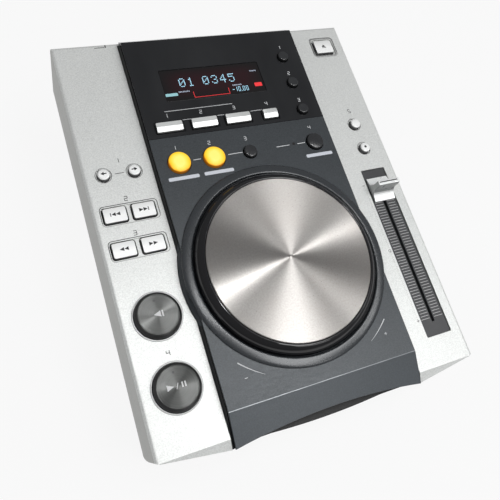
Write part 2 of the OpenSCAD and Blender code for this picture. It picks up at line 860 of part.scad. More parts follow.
// Chips and a plug strip of the main board: place and size of each
board_chips = [[[32, 30], [22, 22, 2.2]], [[68, 26], [16, 12, 2]], [[52, 55], [40, 6, 8]]];

module main_board() {
  color([0.1, 0.32, 0.16]) union() {
    row_board(main_board_x);
    for (c = board_chips) chip(main_board_x, c[0], c[1]);
  }
}

transformer_at = [36, 30];
transformer = [44, 38, 32];
capacitor_r = 5;
capacitor_h = 16;
capacitor_pitch = 14;
// Place of the first capacitor from the board's left and rear edges
capacitor_in = [12, 16];

module power_board() {
  color([0.35, 0.28, 0.14]) union() {
    row_board(power_board_x);
    chip(power_board_x, transformer_at, transformer);
    for (i = [0:2])
      translate([
        power_board_x[0] + capacitor_in[0] + i * capacitor_pitch, board_y[1] - capacitor_in[1],
        main_board_z + board_t - bond
      ]) cylinder(r = capacitor_r, h = capacitor_h);
  }
}

module phono_sockets() {
  color([0.75, 0.75, 0.72]) for (x = phono_x)
    difference() {
      union() {
        translate([x - phono_body / 2, rear_in - plate_t - phono_deep, jack_z - phono_body / 2])
          cube([phono_body, phono_deep, phono_body]);
        translate([x, rear_y + phono_out, jack_z]) rotate([90, 0, 0])
          cylinder(r = phono_r, h = rear_y + phono_out - rear_in);
        translate([x, rear_in + cut, jack_z]) rotate([90, 0, 0])
          cylinder(r = phono_neck_r, h = plate_t + 2 * cut);
      }
      translate([x, rear_y + phono_out + cut, jack_z]) rotate([90, 0, 0])
        cylinder(r = phono_hole_r, h = phono_hole_len + cut);
    }
}

module control_socket() {
  color([0.3, 0.3, 0.3]) difference() {
    union() {
      translate([control_x - control_body / 2, rear_in - plate_t - socket_deep, jack_z - control_body / 2])
        cube([control_body, socket_deep, control_body]);
      translate([control_x, rear_in, jack_z]) rotate([90, 0, 0])
        cylinder(r = control_neck_r, h = plate_t + cut);
    }
    translate([control_x, rear_in + cut, jack_z]) rotate([90, 0, 0])
      cylinder(r = control_bore_r, h = control_bore_len + cut);
  }
}

inlet_deep = 12;
inlet_bay_w = 15;
inlet_bay_h = 8.4;
inlet_lip = 1;
inlet_pin_r = 1.2;
inlet_pin_pitch = 8.6;

module mains_inlet() {
  color([0.07, 0.07, 0.07]) difference() {
    union() {
      translate([inlet_x - inlet_w / 2, rear_in - plate_t - socket_deep, jack_z - inlet_h / 2])
        cube([inlet_w, socket_deep + plate_t + inlet_lip, inlet_h]);
      translate([inlet_x - inlet_w / 2 - 2, rear_in - plate_t - 2, jack_z - inlet_h / 2 - 2])
        cube([inlet_w + 4, 2, inlet_h + 4]);
    }
    difference() {
      translate([inlet_x, rear_in + inlet_lip + cut, jack_z]) rotate([90, 0, 0])
        linear_extrude(inlet_deep + cut) pad(inlet_bay_w, inlet_bay_h, inlet_bay_h / 2 - bond);
      for (s = [-1, 1])
        translate([inlet_x + s * inlet_pin_pitch / 2, rear_in - 1, jack_z]) rotate([90, 0, 0])
          cylinder(r = inlet_pin_r, h = inlet_deep);
    }
  }
}

// Ears that carry the roller's shaft and the clamp's pins: thickness, depth and gap to what turns
ear_t = 2;
ear_d = 8;
ear_gap = 1.5;
// Chassis: its reach past the roller's and the clamp's axes, and the height of what cuts through it
chassis_reach = 8;
chassis_cut = 6;
lug_t = 2.4;
lug_drop = 3.4;
lug_over = 9;
// Gap round the roller, the hub and the sled in their openings
drive_gap = 1;
sled_slot_in = 9;
// Depth of the raised seat that carries the spindle motor, and its wall
seat_deep = 2.6;
seat_wall = 2;

// Lug that hangs from the chassis and holds the rods' ends
module rod_lug(x0, x1, y) {
  translate([x0, mech_y + y - lug_t / 2, rod_z - lug_drop])
    cube([x1 - x0, lug_t, chassis_z - rod_z + lug_drop - chassis_t / 2]);
}

module drive_chassis() {
  color([0.62, 0.63, 0.64]) difference() {
    union() {
      difference() {
        translate([-chassis_half, roller_y - chassis_reach, chassis_z - chassis_t])
          cube([2 * chassis_half, post_y1 - roller_y + 2 * chassis_reach, chassis_t]);
        translate([-roller_len / 2 - drive_gap, roller_y - roller_r - drive_gap, chassis_z - chassis_cut / 2])
          cube([roller_len + 2 * drive_gap, 2 * (roller_r + drive_gap), chassis_cut]);
        translate([0, mech_y, chassis_z - chassis_cut / 2]) cylinder(r = hub_r + drive_gap, h = chassis_cut);
        translate([-sled_w / 2 + sled_slot_in, mech_y, chassis_z - chassis_cut / 2])
          cube([
            sled_w - 2 * sled_slot_in, sled_home + pickup_travel + sled_d / 2 + 2 * drive_gap, chassis_cut
          ]);
      }
      for (s = [-1, 1])
        translate([
          s * (roller_len / 2 + ear_gap + ear_t / 2) - ear_t / 2, roller_y - ear_d / 2, chassis_z - chassis_t
        ]) cube([ear_t, ear_d, chassis_t + pin_r + 1.1]);
      rod_lug(-sled_w / 2 - drive_gap, screw_x + lug_over, rod_y1);
      rod_lug(-sled_w / 2 - drive_gap, -hub_r - seat_wall, rod_y0);
      rod_lug(hub_r + seat_wall, screw_x + lug_over, rod_y0);
      for (s = [-1, 1])
        translate([s * (arm_half + ear_t) - ear_t / 2, pivot_y - ear_d / 2, chassis_z - chassis_t])
          cube([ear_t, ear_d, pivot_z + ear_d / 2 - chassis_z + chassis_t]);
      difference() {
        translate([0, mech_y, chassis_z - chassis_t - seat_deep])
          cylinder(r = hub_r + drive_gap + seat_wall, h = seat_deep + chassis_t);
        translate([0, mech_y, chassis_z - chassis_t - seat_deep + seat_wall])
          cylinder(r = hub_r + drive_gap, h = chassis_cut);
      }
    }
    translate([-chassis_half, roller_y, roller_z]) rotate([0, 90, 0])
      cylinder(r = pin_r + run_gap, h = 2 * chassis_half);
    translate([-chassis_half, pivot_y, pivot_z]) rotate([0, 90, 0])
      cylinder(r = pin_r + run_gap, h = 2 * chassis_half);
    for (s = [-1, 1])
      translate([s * rod_gap / 2, mech_y + rod_y1 + 2, rod_z]) rotate([90, 0, 0])
        cylinder(r = rod_r + 0.01, h = rod_y1 - rod_y0 + 4);
    translate([screw_x, mech_y + rod_y1 + 2, rod_z]) rotate([90, 0, 0])
      cylinder(r = rod_r + run_gap, h = rod_y1 - rod_y0 + 4);
    translate([0, mech_y, motor_top - cut]) cylinder(r = motor_neck_r + 0.5, h = seat_deep + chassis_t + cut);
  }
}

module drive_dampers() {
  color([0.12, 0.12, 0.12]) for (x = [-1, 1], y = [post_y0, post_y1])
    translate([x * post_x, y, damper_z]) rotate_extrude() polygon([
      [0, 0], [damper_r, 0], [damper_r - 1, damper_h / 2], [damper_r, damper_h], [0, damper_h]
    ]);
}

module guide_rods() {
  color([0.8, 0.8, 0.8]) for (s = [-1, 1])
    translate([s * rod_gap / 2, mech_y + rod_y1 + 1.2, rod_z]) rotate([90, 0, 0])
      cylinder(r = rod_r, h = rod_y1 - rod_y0 + 2.4);
}

motor_top = chassis_z - chassis_t - seat_deep;
motor_len = 9;
motor_neck_r = 3.5;

module spindle_motor() {
  color([0.55, 0.55, 0.56]) difference() {
    union() {
      translate([0, mech_y, motor_top - motor_len]) cylinder(r = motor_r, h = motor_len);
      translate([0, mech_y, motor_top - cut]) cylinder(r = motor_neck_r, h = 2 * cut);
    }
    translate([0, mech_y, motor_top - 7]) cylinder(r = 1 + run_gap, h = 10);
  }
}

module sled_motor() {
  color([0.5, 0.5, 0.52]) difference() {
    translate([screw_x, mech_y + rod_y1 + 15.2, rod_z]) rotate([90, 0, 0]) cylinder(r = 6, h = 14);
    translate([screw_x, mech_y + rod_y1 + 9, rod_z]) rotate([90, 0, 0]) cylinder(r = rod_r + run_gap, h = 10);
  }
}

module jog_bearing() {
  color([0.72, 0.6, 0.3]) deck_at(mid_u, jog_v) difference() {
    union() {
      disc_block(bearing_r, -3.6, frame_top + 0.1);
      disc_block(bearing_r + 2, frame_top, frame_top + 0.7);
    }
    disc_block(shaft_r + run_gap, -2 * wall, deck_rise);
  }
}

module case_screws() {
  color([0.3, 0.3, 0.3]) for (x = [-1, 1], y = screw_y_at)
    translate([x * screw_x_at, y, foot_h - 0.4]) difference() {
      union() {
        cylinder(r = screw_head_r, h = 1.6);
        cylinder(r = screw_r - 0.02, h = floor_t + 9);
      }
      for (a = [0, 90]) rotate(a) translate([-1.6, -0.3, -cut]) cube([3.2, 0.6, cut + 0.9]);
    }
}

module trim_rings() {
  color([0.85, 0.85, 0.85]) for (v = [cue_v, play_v])
    deck_at(big_u, v) difference() {
      disc_block(big_hole_r + trim_w, 0, 0.7);
      disc_block(big_hole_r, -cut, 0.7 + cut);
    }
}

rim_low = frame_top + 0.5;
hub_low = frame_top + 0.9;

module jog_rim() {
  color([0.04, 0.04, 0.045]) deck_at(mid_u, jog_v) rotate_extrude($fn = 128) polygon([
    [shaft_r, hub_low], [8, hub_low], [8, disc_top - 3.6], [disc_r - 1, disc_top - 3.6],
    [disc_r + 0.4, rim_low], [rim_r - 0.8, rim_low], [rim_r, rim_low + 0.8],
    [rim_r, deck_rise + 1.2], [rim_r - 0.9, deck_rise + 4], [disc_r + 2.2, disc_top - 0.6],
    [disc_r + 0.9, disc_top - 0.1], [disc_r + 0.05, disc_top - 0.5], [disc_r + 0.05, disc_top - 1.2],
    [shaft_r, disc_top - 1.2]
  ]);
}

module jog_disc() {
  color([0.7, 0.69, 0.67]) deck_at(mid_u, jog_v) rotate_extrude($fn = 128) polygon([
    [0, disc_top - 1.2], [disc_r, disc_top - 1.2], [disc_r, disc_top - 0.3], [disc_r - 0.4, disc_top],
    [1.4, disc_top], [0, disc_top + 0.25]
  ]);
}

module jog_shaft() {
  color([0.75, 0.75, 0.76]) deck_at(mid_u, jog_v) difference() {
    union() {
      disc_block(shaft_r, -5.6, disc_top - 1.2);
      disc_block(encoder_r, -5.6, -4.6);
    }
    for (a = [0:12:348])
      rotate(a) translate([encoder_r - 4, -0.6, -5.6 - cut]) cube([2.6, 1.2, 1 + 2 * cut]);
  }
}

// A button's hidden part: flange under the plate and the stem over its switch
module button_foot(flange_w) {
  disc_block(stem_r, flange_w - flange_t - stem_len, flange_w);
}

module round_button(r, top, flange_w, dish) {
  rotate_extrude() polygon([
    [0, flange_w - flange_t], [r + flange_reach, flange_w - flange_t], [r + flange_reach, flange_w],
    [r, flange_w], [r, top - 0.9], [r - 0.25, top - 0.3], [r - 0.8, top], [0, top - dish]
  ]);
  button_foot(flange_w);
}

module pad_button(x, y, r, top, flange_w) {
  pad_block(x, y, r, flange_w - bond, top);
  pad_block(x + 2 * flange_reach, y + 2 * flange_reach, r, flange_w - flange_t, flange_w);
  button_foot(flange_w);
}

module big_button(v) {
  color([0.16, 0.16, 0.17]) deck_at(big_u, v) union() {
    rotate_extrude() polygon([
      [0, wing_flange_w - flange_t], [big_r + flange_reach, wing_flange_w - flange_t],
      [big_r + flange_reach, wing_flange_w], [big_r, wing_flange_w], [big_r, big_top - 2.2],
      [big_r - 0.3, big_top - 1.3], [big_r - 1.6, big_top - 0.1], [big_r - 1.9, big_top],
      [big_r - 2.1, big_top - 0.2], [0, big_top - 0.2]
    ]);
    button_foot(wing_flange_w);
  }
}

module cue_button() big_button(cue_v);
module play_button() big_button(play_v);

module wing_key(s, v) {
  color([0.85, 0.85, 0.84]) deck_at(big_u + s * key_pitch / 2, v)
    pad_button(key_w, key_d, 1.2, key_top, wing_flange_w);
}

module track_back_key() wing_key(-1, track_v);
module track_forward_key() wing_key(1, track_v);
module search_back_key() wing_key(-1, search_v);
module search_forward_key() wing_key(1, search_v);

module pip(u, v) {
  color([0.85, 0.85, 0.84]) deck_at(u, v) round_button(pip_r, pip_top, wing_flange_w, 0);
}

module folder_back_button() pip(big_u - folder_pitch / 2, folder_v);
module folder_forward_button() pip(big_u + folder_pitch / 2, folder_v);
module range_button() pip(right_u, range_v);
module lock_button() pip(right_u, lock_v);

module eject_key() {
  color([0.85, 0.85, 0.84]) deck_at(right_u, eject_v)
    pad_button(eject_w, eject_d, 1.4, key_top, wing_flange_w);
}

module effect_key(i) {
  color([0.8, 0.8, 0.8]) deck_at(bar_at(i), bar_v) difference() {
    pad_button(bar_size(i), bar_d, 0.8, deck_rise + bar_rise, deck_flange_w);
    translate([-bar_size(i), 0, deck_rise + bar_rise]) rotate([bar_slope, 0, 0])
      translate([0, -bar_d, 0]) cube([2 * bar_size(i), bar_d, bar_rise]);
  }
}

module effect_key_1() effect_key(0);
module effect_key_2() effect_key(1);
module effect_key_3() effect_key(2);
module hold_key() effect_key(3);

module dot_button(i) {
  color([0.05, 0.05, 0.05]) deck_at(dot_u, dot_v0 + i * dot_pitch)
    round_button(dot_r, deck_rise + 2.6, deck_flange_w, 0.3);
}

module auto_button() dot_button(0);
module time_button() dot_button(1);
module text_button() dot_button(2);

module loop_button(i, shade) {
  color(shade) deck_at(loop_at[i][0], loop_v)
    round_button(loop_at[i][1], deck_rise + loop_rise, deck_flange_w, 0.3);
}

module loop_in_button() loop_button(0, [1, 0.75, 0.15]);
module loop_out_button() loop_button(1, [1, 0.75, 0.15]);
module reloop_button() loop_button(2, [0.05, 0.05, 0.05]);
module beat_button() loop_button(3, [0.05, 0.05, 0.05]);

module fader_knob() {
  h = knob_len / 2;
  low = fader_plate_w + 0.4;
  lip_h = 1.6;
  lip_l = 3.2;
  lip_fall = 0.9;
  bar_half = 1.9;
  sweep_top = knob_top - 6.4;
  sweep_l = h - lip_l - bar_half;
  color([0.85, 0.85, 0.85]) deck_at(right_u, fader_v + knob_at) union() {
    translate([-knob_w / 2, 0, 0]) rotate([90, 0, 90]) linear_extrude(knob_w)
      for (s = [0, 1]) mirror([s, 0]) polygon(concat(
        [[0, low], [h, low], [h, lip_h - lip_fall]],
        [for (a = [0:15:75]) [h - lip_l - sweep_l * sin(a), sweep_top - (sweep_top - lip_h) * cos(a)]],
        [[bar_half, sweep_top], [bar_half, knob_top - 0.5], [bar_half - 0.5, knob_top], [0, knob_top]]
      ));
    translate([-slit_w / 2 + 0.5, -1.6, fader_seat - fader_deep + wall + 1])
      cube([slit_w - 1, 3.2, -fader_seat + fader_deep - wall]);
  }
}

module power_button() {
  color([0.08, 0.08, 0.08]) union() {
    translate([power_x, rear_y - 3, jack_z]) cube([power_w, 9, power_w], center = true);
    translate([power_x, rear_in - plate_t - flange_gap - 1, jack_z])
      cube([power_w + 3, 2, power_w + 3], center = true);
  }
}

module feed_roller() {
  color([0.1, 0.1, 0.1]) translate([0, roller_y, roller_z]) rotate([0, 90, 0]) union() {
    translate([0, 0, -roller_len / 2]) cylinder(r = roller_r, h = roller_len);
    translate([0, 0, -roller_len / 2 - 4.5]) cylinder(r = pin_r, h = roller_len + 9);
  }
}

module spindle_hub() {
  color([0.15, 0.15, 0.16]) translate([0, mech_y, 0]) union() {
    translate([0, 0, chassis_z + 0.3]) cylinder(r = hub_r, h = 1.6);
    translate([0, 0, chassis_z + 1.8]) cylinder(r1 = 7.4, r2 = 6.2, h = way_z - way_gap - chassis_z - 1.8);
    translate([0, 0, motor_top - 6]) cylinder(r = 1, h = chassis_z + 0.4 - motor_top + 6);
  }
}

// Sled: its depth below the rods, its thickness, the lens holder on it and the lead screw's nut
sled_low = 2.6;
sled_t = 6;
holder = [14, 12, 2.6];
lens_r = 3.4;
lens_h = 2.6;
nut = [3.4, 8, 6];

module pickup_sled() {
  color([0.2, 0.2, 0.22]) translate([0, mech_y + sled_home, rod_z]) difference() {
    union() {
      translate([-sled_w / 2, -sled_d / 2, -sled_low]) cube([sled_w, sled_d, sled_t]);
      translate([-holder[0] / 2, -holder[1] / 2, sled_t / 2]) cube(holder);
      translate([0, 0, sled_t / 2 + holder[2] - 0.6]) cylinder(r = lens_r, h = lens_h);
      translate([sled_w / 2 - cut, -nut[1] / 2, -nut[2] / 2])
        cube([screw_x + nut[0] - sled_w / 2 + cut, nut[1], nut[2]]);
    }
    for (x = [-rod_gap / 2, rod_gap / 2, screw_x])
      translate([x, sled_d, 0]) rotate([90, 0, 0]) cylinder(r = rod_r + run_gap, h = 2 * sled_d);
  }
}

module lead_screw() {
  color([0.75, 0.7, 0.5]) translate([screw_x, mech_y + rod_y1 + 6, rod_z]) rotate([90, 0, 0])
    cylinder(r = rod_r, h = rod_y1 - rod_y0 + 7.2);
}

// Clamp above the disc's way, shown parked, with the puck over the spindle
module clamp_arm() {
  color([0.3, 0.3, 0.32]) union() {
    translate([-16, mech_y, pivot_z - 1]) cube([32, pivot_y - mech_y, 1.4]);
    translate([-arm_half, pivot_y - 3, pivot_z - 1.9]) cube([2 * arm_half, 6, 3.4]);
    translate([0, mech_y, way_top + 0.3]) cylinder(r = 14, h = pivot_z + 0.4 - way_top - 0.3);
    translate([-arm_half - 3, pivot_y, pivot_z]) rotate([0, 90, 0]) cylinder(r = pin_r, h = 2 * arm_half + 6);
  }
}

upper_case();
centre_frame();
deck_panel();
display_fascia();
display_lens();
display_tube();
jog_ring();
slot_bezel();
base_case();
rear_panel();
rubber_feet();
fader_plate();
fader_body();
wing_boards();
deck_board();
main_board();
power_board();
phono_sockets();
control_socket();
mains_inlet();
drive_chassis();
drive_dampers();
guide_rods();
spindle_motor();
sled_motor();
jog_bearing();
case_screws();
trim_rings();
jog_rim();
jog_disc();
jog_shaft();
cue_button();
play_button();
track_back_key();
track_forward_key();
search_back_key();
search_forward_key();
folder_back_button();
folder_forward_button();
eject_key();
range_button();
lock_button();
effect_key_1();
effect_key_2();
effect_key_3();
hold_key();
text_button();
time_button();
auto_button();
loop_in_button();
loop_out_button();
reloop_button();
beat_button();
fader_knob();
power_button();
feed_roller();
spindle_hub();
pickup_sled();
lead_screw();
clamp_arm();
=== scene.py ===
import json
import math

import bmesh
import bpy
from mathutils import Euler, Matrix, Vector


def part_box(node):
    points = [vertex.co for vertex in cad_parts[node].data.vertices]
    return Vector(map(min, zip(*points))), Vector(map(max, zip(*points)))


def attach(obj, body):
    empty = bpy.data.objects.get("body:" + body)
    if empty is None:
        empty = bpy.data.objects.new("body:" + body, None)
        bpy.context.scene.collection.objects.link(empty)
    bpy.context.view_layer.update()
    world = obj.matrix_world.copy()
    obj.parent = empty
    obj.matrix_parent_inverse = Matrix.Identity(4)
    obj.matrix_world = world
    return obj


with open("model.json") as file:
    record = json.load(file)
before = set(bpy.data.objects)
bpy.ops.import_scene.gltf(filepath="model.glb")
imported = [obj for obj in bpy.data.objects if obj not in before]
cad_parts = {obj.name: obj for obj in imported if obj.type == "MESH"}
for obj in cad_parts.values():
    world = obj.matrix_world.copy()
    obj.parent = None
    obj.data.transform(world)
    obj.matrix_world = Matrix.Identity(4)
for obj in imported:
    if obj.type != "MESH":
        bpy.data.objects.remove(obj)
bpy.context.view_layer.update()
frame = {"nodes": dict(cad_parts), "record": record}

# Sizes are in millimetres; MM turns them into Blender's metres.
MM = 0.001
SLOPE = math.radians(6.5)
TOP_W, TOP_D, FRONT_H = 215.0, 266.7, 69.0
REAR_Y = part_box("upper_case")[1].y / MM
FRONT_Y = REAR_Y - TOP_D * math.cos(SLOPE)

# Heights over the wings' top face, in the direction w
DECK_TOP = 6.5
LENS_TOP = DECK_TOP - 0.3
FADER_TOP = -0.8
BIG_TOP, KEY_TOP, PIP_TOP, KNOB_TOP = 4.2, 1.6, 2.8, 12.6
WELL_FLOOR = -0.8
PAINT_END = -0.85
WING_FLANGES, DECK_FLANGES = -0.9, DECK_TOP - 0.6

# Controls on the sloping top face: u from its left edge, v from its front edge.
JOG = (107.5, 89.6)
RING_FOOT_R = 68.3
FOLD_V = 13.6
BIG_U, CUE_V, PLAY_V, BIG_CAP_R = 22.0, 77.0, 35.2, 12.0
KEY_W, KEY_D, KEY_PITCH, TRACK_V, SEARCH_V = 13.6, 9.4, 17.6, 142.8, 120.2
FOLDER_PITCH, FOLDER_V = 19.1, 169.8
RIGHT_U, EJECT_V, RANGE_V, LOCK_V = 196.8, 247.6, 179.0, 159.0
EJECT_W, EJECT_D = 14.4, 10.8
FADER_V, FADER_HALF, KNOB_V = 80.5, 50.0, 126.0
LOOP_V = 167.3
AMBER_U = (59.2, 82.6)
WINDOW = (99.4, 224.2)
EFFECT_KEYS = ("effect_key_1", "effect_key_2", "effect_key_3", "hold_key")

DECK = (
    Matrix.Translation((-TOP_W / 2 * MM, FRONT_Y * MM, FRONT_H * MM))
    @ Matrix.Rotation(SLOPE, 4, "X")
    @ Matrix.Scale(MM, 4)
)


def on_deck(u, v, w=0.0):
    """The point of the row frame, in metres, at u, v and height w over the top face."""
    return DECK @ Vector((u, v, w))


def srgb(red, green, blue):
    """The linear colour that a shader takes, from the colour as a screen shows it, 0 to 255."""
    def linear(c):
        c /= 255
        return c / 12.92 if c <= 0.04045 else ((c + 0.055) / 1.055) ** 2.4

    return (linear(red), linear(green), linear(blue), 1.0)


# Materials


class Shader:
    """A material and short calls that each add one node to it."""

    def __init__(self, name, made=None, **constants):
        self.material = made or bpy.data.materials.new(name)
        self.material.use_nodes = True
        self.tree = self.material.node_tree
        self.surface = self.tree.nodes["Principled BSDF"]
        for key, value in constants.items():
            self.surface.inputs[key.replace("_", " ")].default_value = value

    def add(self, kind, feeds=None, **settings):
        made = self.tree.nodes.new("ShaderNode" + kind)
        for key, value in settings.items():
            setattr(made, key, value)
        for key, value in (feeds or {}).items():
            self.feed(made.inputs[key], value)
        return made

    def feed(self, socket, value):
        if isinstance(value, bpy.types.NodeSocket):
            self.tree.links.new(value, socket)
        else:
            socket.default_value = value

    def out(self, key, value):
        self.feed(self.surface.inputs[key], value)

    def place(self, u=None, v=None, stretch=(1, 1, 1)):
        """Coordinates in millimetres: along the deck round a point on it, or in the row frame."""
        raw = self.add("TexCoord").outputs["Object"]
        at = on_deck(u, v) if u is not None else Vector()
        turn = SLOPE if u is not None else 0.0
        scale = [MM / s for s in stretch]
        feeds = {"Vector": raw, "Location": at, "Rotation": (turn, 0, 0), "Scale": scale}
        return self.add("Mapping", feeds, vector_type="TEXTURE").outputs[0]

    def noise(self, at, scale, detail=2.0, rough=0.5):
        feeds = {"Vector": at, "Scale": scale, "Detail": detail, "Roughness": rough}
        return self.add("TexNoise", feeds).outputs["Fac"]

    def cells(self, at, scale):
        return self.add("TexVoronoi", {"Vector": at, "Scale": scale}).outputs[0]

    def ramp(self, value, *stops):
        """Stops are pairs of a place and a colour or a grey level."""
        made = self.add("ValToRGB", {"Fac": value})
        line = made.color_ramp.elements
        while len(line) < len(stops):
            line.new(0.5)
        for element, (place, colour) in zip(line, stops):
            element.position = place
            element.color = colour if hasattr(colour, "__len__") else (colour, colour, colour, 1)
        return made.outputs[0]

    def mix(self, share, a, b):
        made = self.add("Mix", data_type="RGBA")
        self.feed(made.inputs[0], share)
        self.feed(made.inputs[6], a)
        self.feed(made.inputs[7], b)
        return made.outputs[2]

    def math(self, operation, a, b=0.0):
        made = self.add("Math", operation=operation)
        self.feed(made.inputs[0], a)
        self.feed(made.inputs[1], b)
        return made.outputs[0]

    def level(self, value, low, high, a, b):
        """value between low and high gives a value between a and b."""
        feeds = {"Value": value, "From Min": low, "From Max": high, "To Min": a, "To Max": b}
        return self.add("MapRange", feeds).outputs[0]

    def parts(self, vector):
        return self.add("SeparateXYZ", {"Vector": vector}).outputs

    def radius(self, at):
        x, y = self.parts(at)[:2]
        return self.add("VectorMath", {0: self.flat(x, y)}, operation="LENGTH").outputs["Value"]

    def flat(self, x, y):
        return self.add("CombineXYZ", {"X": x, "Y": y}).outputs[0]

    def upright(self, low, high):
        """1 on walls that stand square to the deck, 0 on what faces up, with a blend between."""
        facing = self.add("NewGeometry").outputs["Normal"]
        deck_normal = (0.0, -math.sin(SLOPE), math.cos(SLOPE))
        share = self.add("VectorMath", {0: facing, 1: deck_normal}, operation="DOT_PRODUCT")
        return self.level(share.outputs["Value"], low, high, 1.0, 0.0)

    def under(self, w):
        """1 below the height w over the top face, where flanges inside the case are painted dark
        as shade.
        """
        return self.math("LESS_THAN", self.parts(self.place(*JOG))[2], w)

    def bump(self, height, depth):
        """Height from 0 to 1 stands for a depth in millimetres."""
        feeds = {"Height": height, "Distance": depth * MM, "Strength": 1.0}
        self.out("Normal", self.add("Bump", feeds).outputs[0])

    def spin(self, at):
        """Lays the brush marks in circles round the place's axis: gloss spreads along radii."""
        x, y = self.parts(at)[:2]
        away = self.flat(x, y)
        turned = self.add("VectorRotate", {"Vector": away, "Angle": SLOPE}, rotation_type="X_AXIS")
        world = self.add("VectorTransform", {"Vector": turned.outputs[0]}, vector_type="VECTOR",
                         convert_from="OBJECT", convert_to="WORLD")
        self.out("Tangent", world.outputs[0])


def flake_paint(name, dark, light, cloud, rough, **constants):
    """Metallic paint: fine flakes over soft clouds, and a slight orange-peel surface."""
    s = Shader(name, **constants)
    at = s.place()
    flakes = s.ramp(s.noise(at, 1.3, 3.0, 0.7), (0.36, dark), (0.64, light))
    clouds = s.noise(at, 0.03, 2.0)
    s.out("Base Color", s.mix(s.level(clouds, 0.3, 0.7, 0.0, cloud), flakes, light))
    scuffs = s.noise(s.place(stretch=(0.25, 1, 1)), 0.9, 4.0, 0.65)
    s.out("Roughness", s.level(scuffs, 0.3, 0.7, rough - 0.05, rough + 0.07))
    s.bump(s.noise(at, 2.2, 2.0), 0.012)
    return s.material


# The holes for the controls lie this far in from the top face's sides, front and rear.
HOLES_IN = (4.0, 12.0, 3.0)


def silver_case():
    """Silver paint outside, painted darker on the side walls as shade; the holes of the controls
    are unpainted and dark inside.
    """
    made = flake_paint("silver_case", srgb(200, 202, 200), srgb(225, 227, 225), 0.2, 0.4,
                       Metallic=0.35)
    s = Shader(made.name, made)
    u, v, w = s.parts(s.place(TOP_W / 2, 0.0))
    from_side, from_front, from_rear = HOLES_IN
    inside = s.math("LESS_THAN", s.math("ABSOLUTE", u), TOP_W / 2 - from_side)
    below = s.math("LESS_THAN", w, PAINT_END)
    behind = s.math("GREATER_THAN", v, from_front)
    ahead = s.math("LESS_THAN", v, TOP_D - from_rear)
    hole = s.math("MULTIPLY", s.math("MULTIPLY", inside, below), s.math("MULTIPLY", behind, ahead))
    paint = s.surface.inputs["Base Color"].links[0].from_socket
    # Painted shade: the side walls are painted a darker grey than the top.
    sides = s.mix(s.math("MULTIPLY", s.upright(0.2, 0.6), 0.8), paint, srgb(146, 147, 142))
    s.out("Base Color", s.mix(hole, sides, srgb(20, 20, 22)))
    s.out("Metallic", s.level(hole, 0.0, 1.0, 0.35, 0.0))
    return made


def deck_blue_grey():
    """Deck paint, with a painted highlight along the fold above the front apron, and painted light
    that makes the apron paler below it.
    """
    made = flake_paint("deck_blue_grey", srgb(46, 50, 53), srgb(62, 67, 71), 0.25, 0.38,
                       Metallic=0.3, Specular_IOR_Level=0.6)
    s = Shader(made.name, made)
    across, along = s.parts(s.place(JOG[0], FOLD_V))[:2]
    # Painted highlight: a bright line along the fold, fading to the right and flecked by noise.
    fold = s.level(s.math("ABSOLUTE", along), 0.08, 0.3, 0.85, 0.0)
    wear_and_painted_highlight = s.math("MULTIPLY", fold, s.level(across, -50.0, 50.0, 1.0, 0.45))
    painted_fold_highlight = s.math("MULTIPLY", wear_and_painted_highlight, s.level(s.noise(s.place(), 0.15, 3.0), 0.3, 0.6, 0.6, 1.0))
    paint = s.surface.inputs["Base Color"].links[0].from_socket
    # Painted light: the apron below the fold is painted paler.
    apron = s.mix(s.level(along, -0.4, 0.0, 0.22, 0.0), paint, srgb(96, 102, 108))
    s.out("Base Color", s.mix(painted_fold_highlight, apron, srgb(182, 186, 190)))
    return made


def ring_paint():
    """The deck's paint on the collar round the jog wheel, smoother from rubbing."""
    s = Shader("ring_paint", Metallic=0.2, Specular_IOR_Level=0.9)
    at = s.place()
    s.out("Base Color", s.mix(s.noise(at, 1.3, 3.0, 0.7), srgb(38, 42, 45), srgb(50, 54, 58)))
    s.out("Roughness", s.level(s.noise(at, 0.1, 2.0), 0.3, 0.7, 0.26, 0.28))
    return s.material


def frame_black():
    """Black flank of the deck, painted like the deck where it swells round the jog ring."""
    s = Shader("frame_black", Specular_IOR_Level=0.1)
    at = s.place(*JOG)
    fine = s.noise(at, 1.4, 3.0, 0.6)
    near = s.level(s.radius(at), RING_FOOT_R, RING_FOOT_R + 0.3, 1.0, 0.0)
    black = s.mix(fine, srgb(7, 7, 9), srgb(17, 18, 21))
    s.out("Base Color", s.mix(near, black, s.mix(fine, srgb(46, 50, 54), srgb(62, 67, 72))))
    s.out("Roughness", s.level(fine, 0.3, 0.7, 0.38, 0.48))
    s.bump(fine, 0.012)
    return s.material


def moulded(name, dark, light, rough, grain=0.02):
    """Spark-eroded plastic: a fine even grain with slow changes of shade."""
    s = Shader(name)
    at = s.place()
    fine = s.noise(at, 1.4, 3.0, 0.6)
    slow = s.noise(at, 0.05)
    s.out("Base Color", s.mix(s.math("MULTIPLY", fine, slow), dark, light))
    s.out("Roughness", s.level(fine, 0.3, 0.7, rough - 0.05, rough + 0.06))
    s.bump(fine, grain)
    return s.material


def black_plastic():
    return moulded("black_plastic", srgb(14, 14, 16), srgb(34, 35, 38), 0.45)


def black_steel():
    return moulded("black_steel", srgb(22, 22, 24), srgb(44, 45, 47), 0.5, 0.03)


def bezel_black():
    """Matt black of the slot's bezel."""
    return moulded("bezel_black", srgb(3, 3, 4), srgb(11, 11, 13), 0.6)


def rubber():
    return moulded("rubber", srgb(16, 16, 16), srgb(40, 40, 40), 0.75, 0.04)


def dark_insert():
    return moulded("dark_insert", srgb(50, 51, 53), srgb(84, 85, 87), 0.5, 0.015)


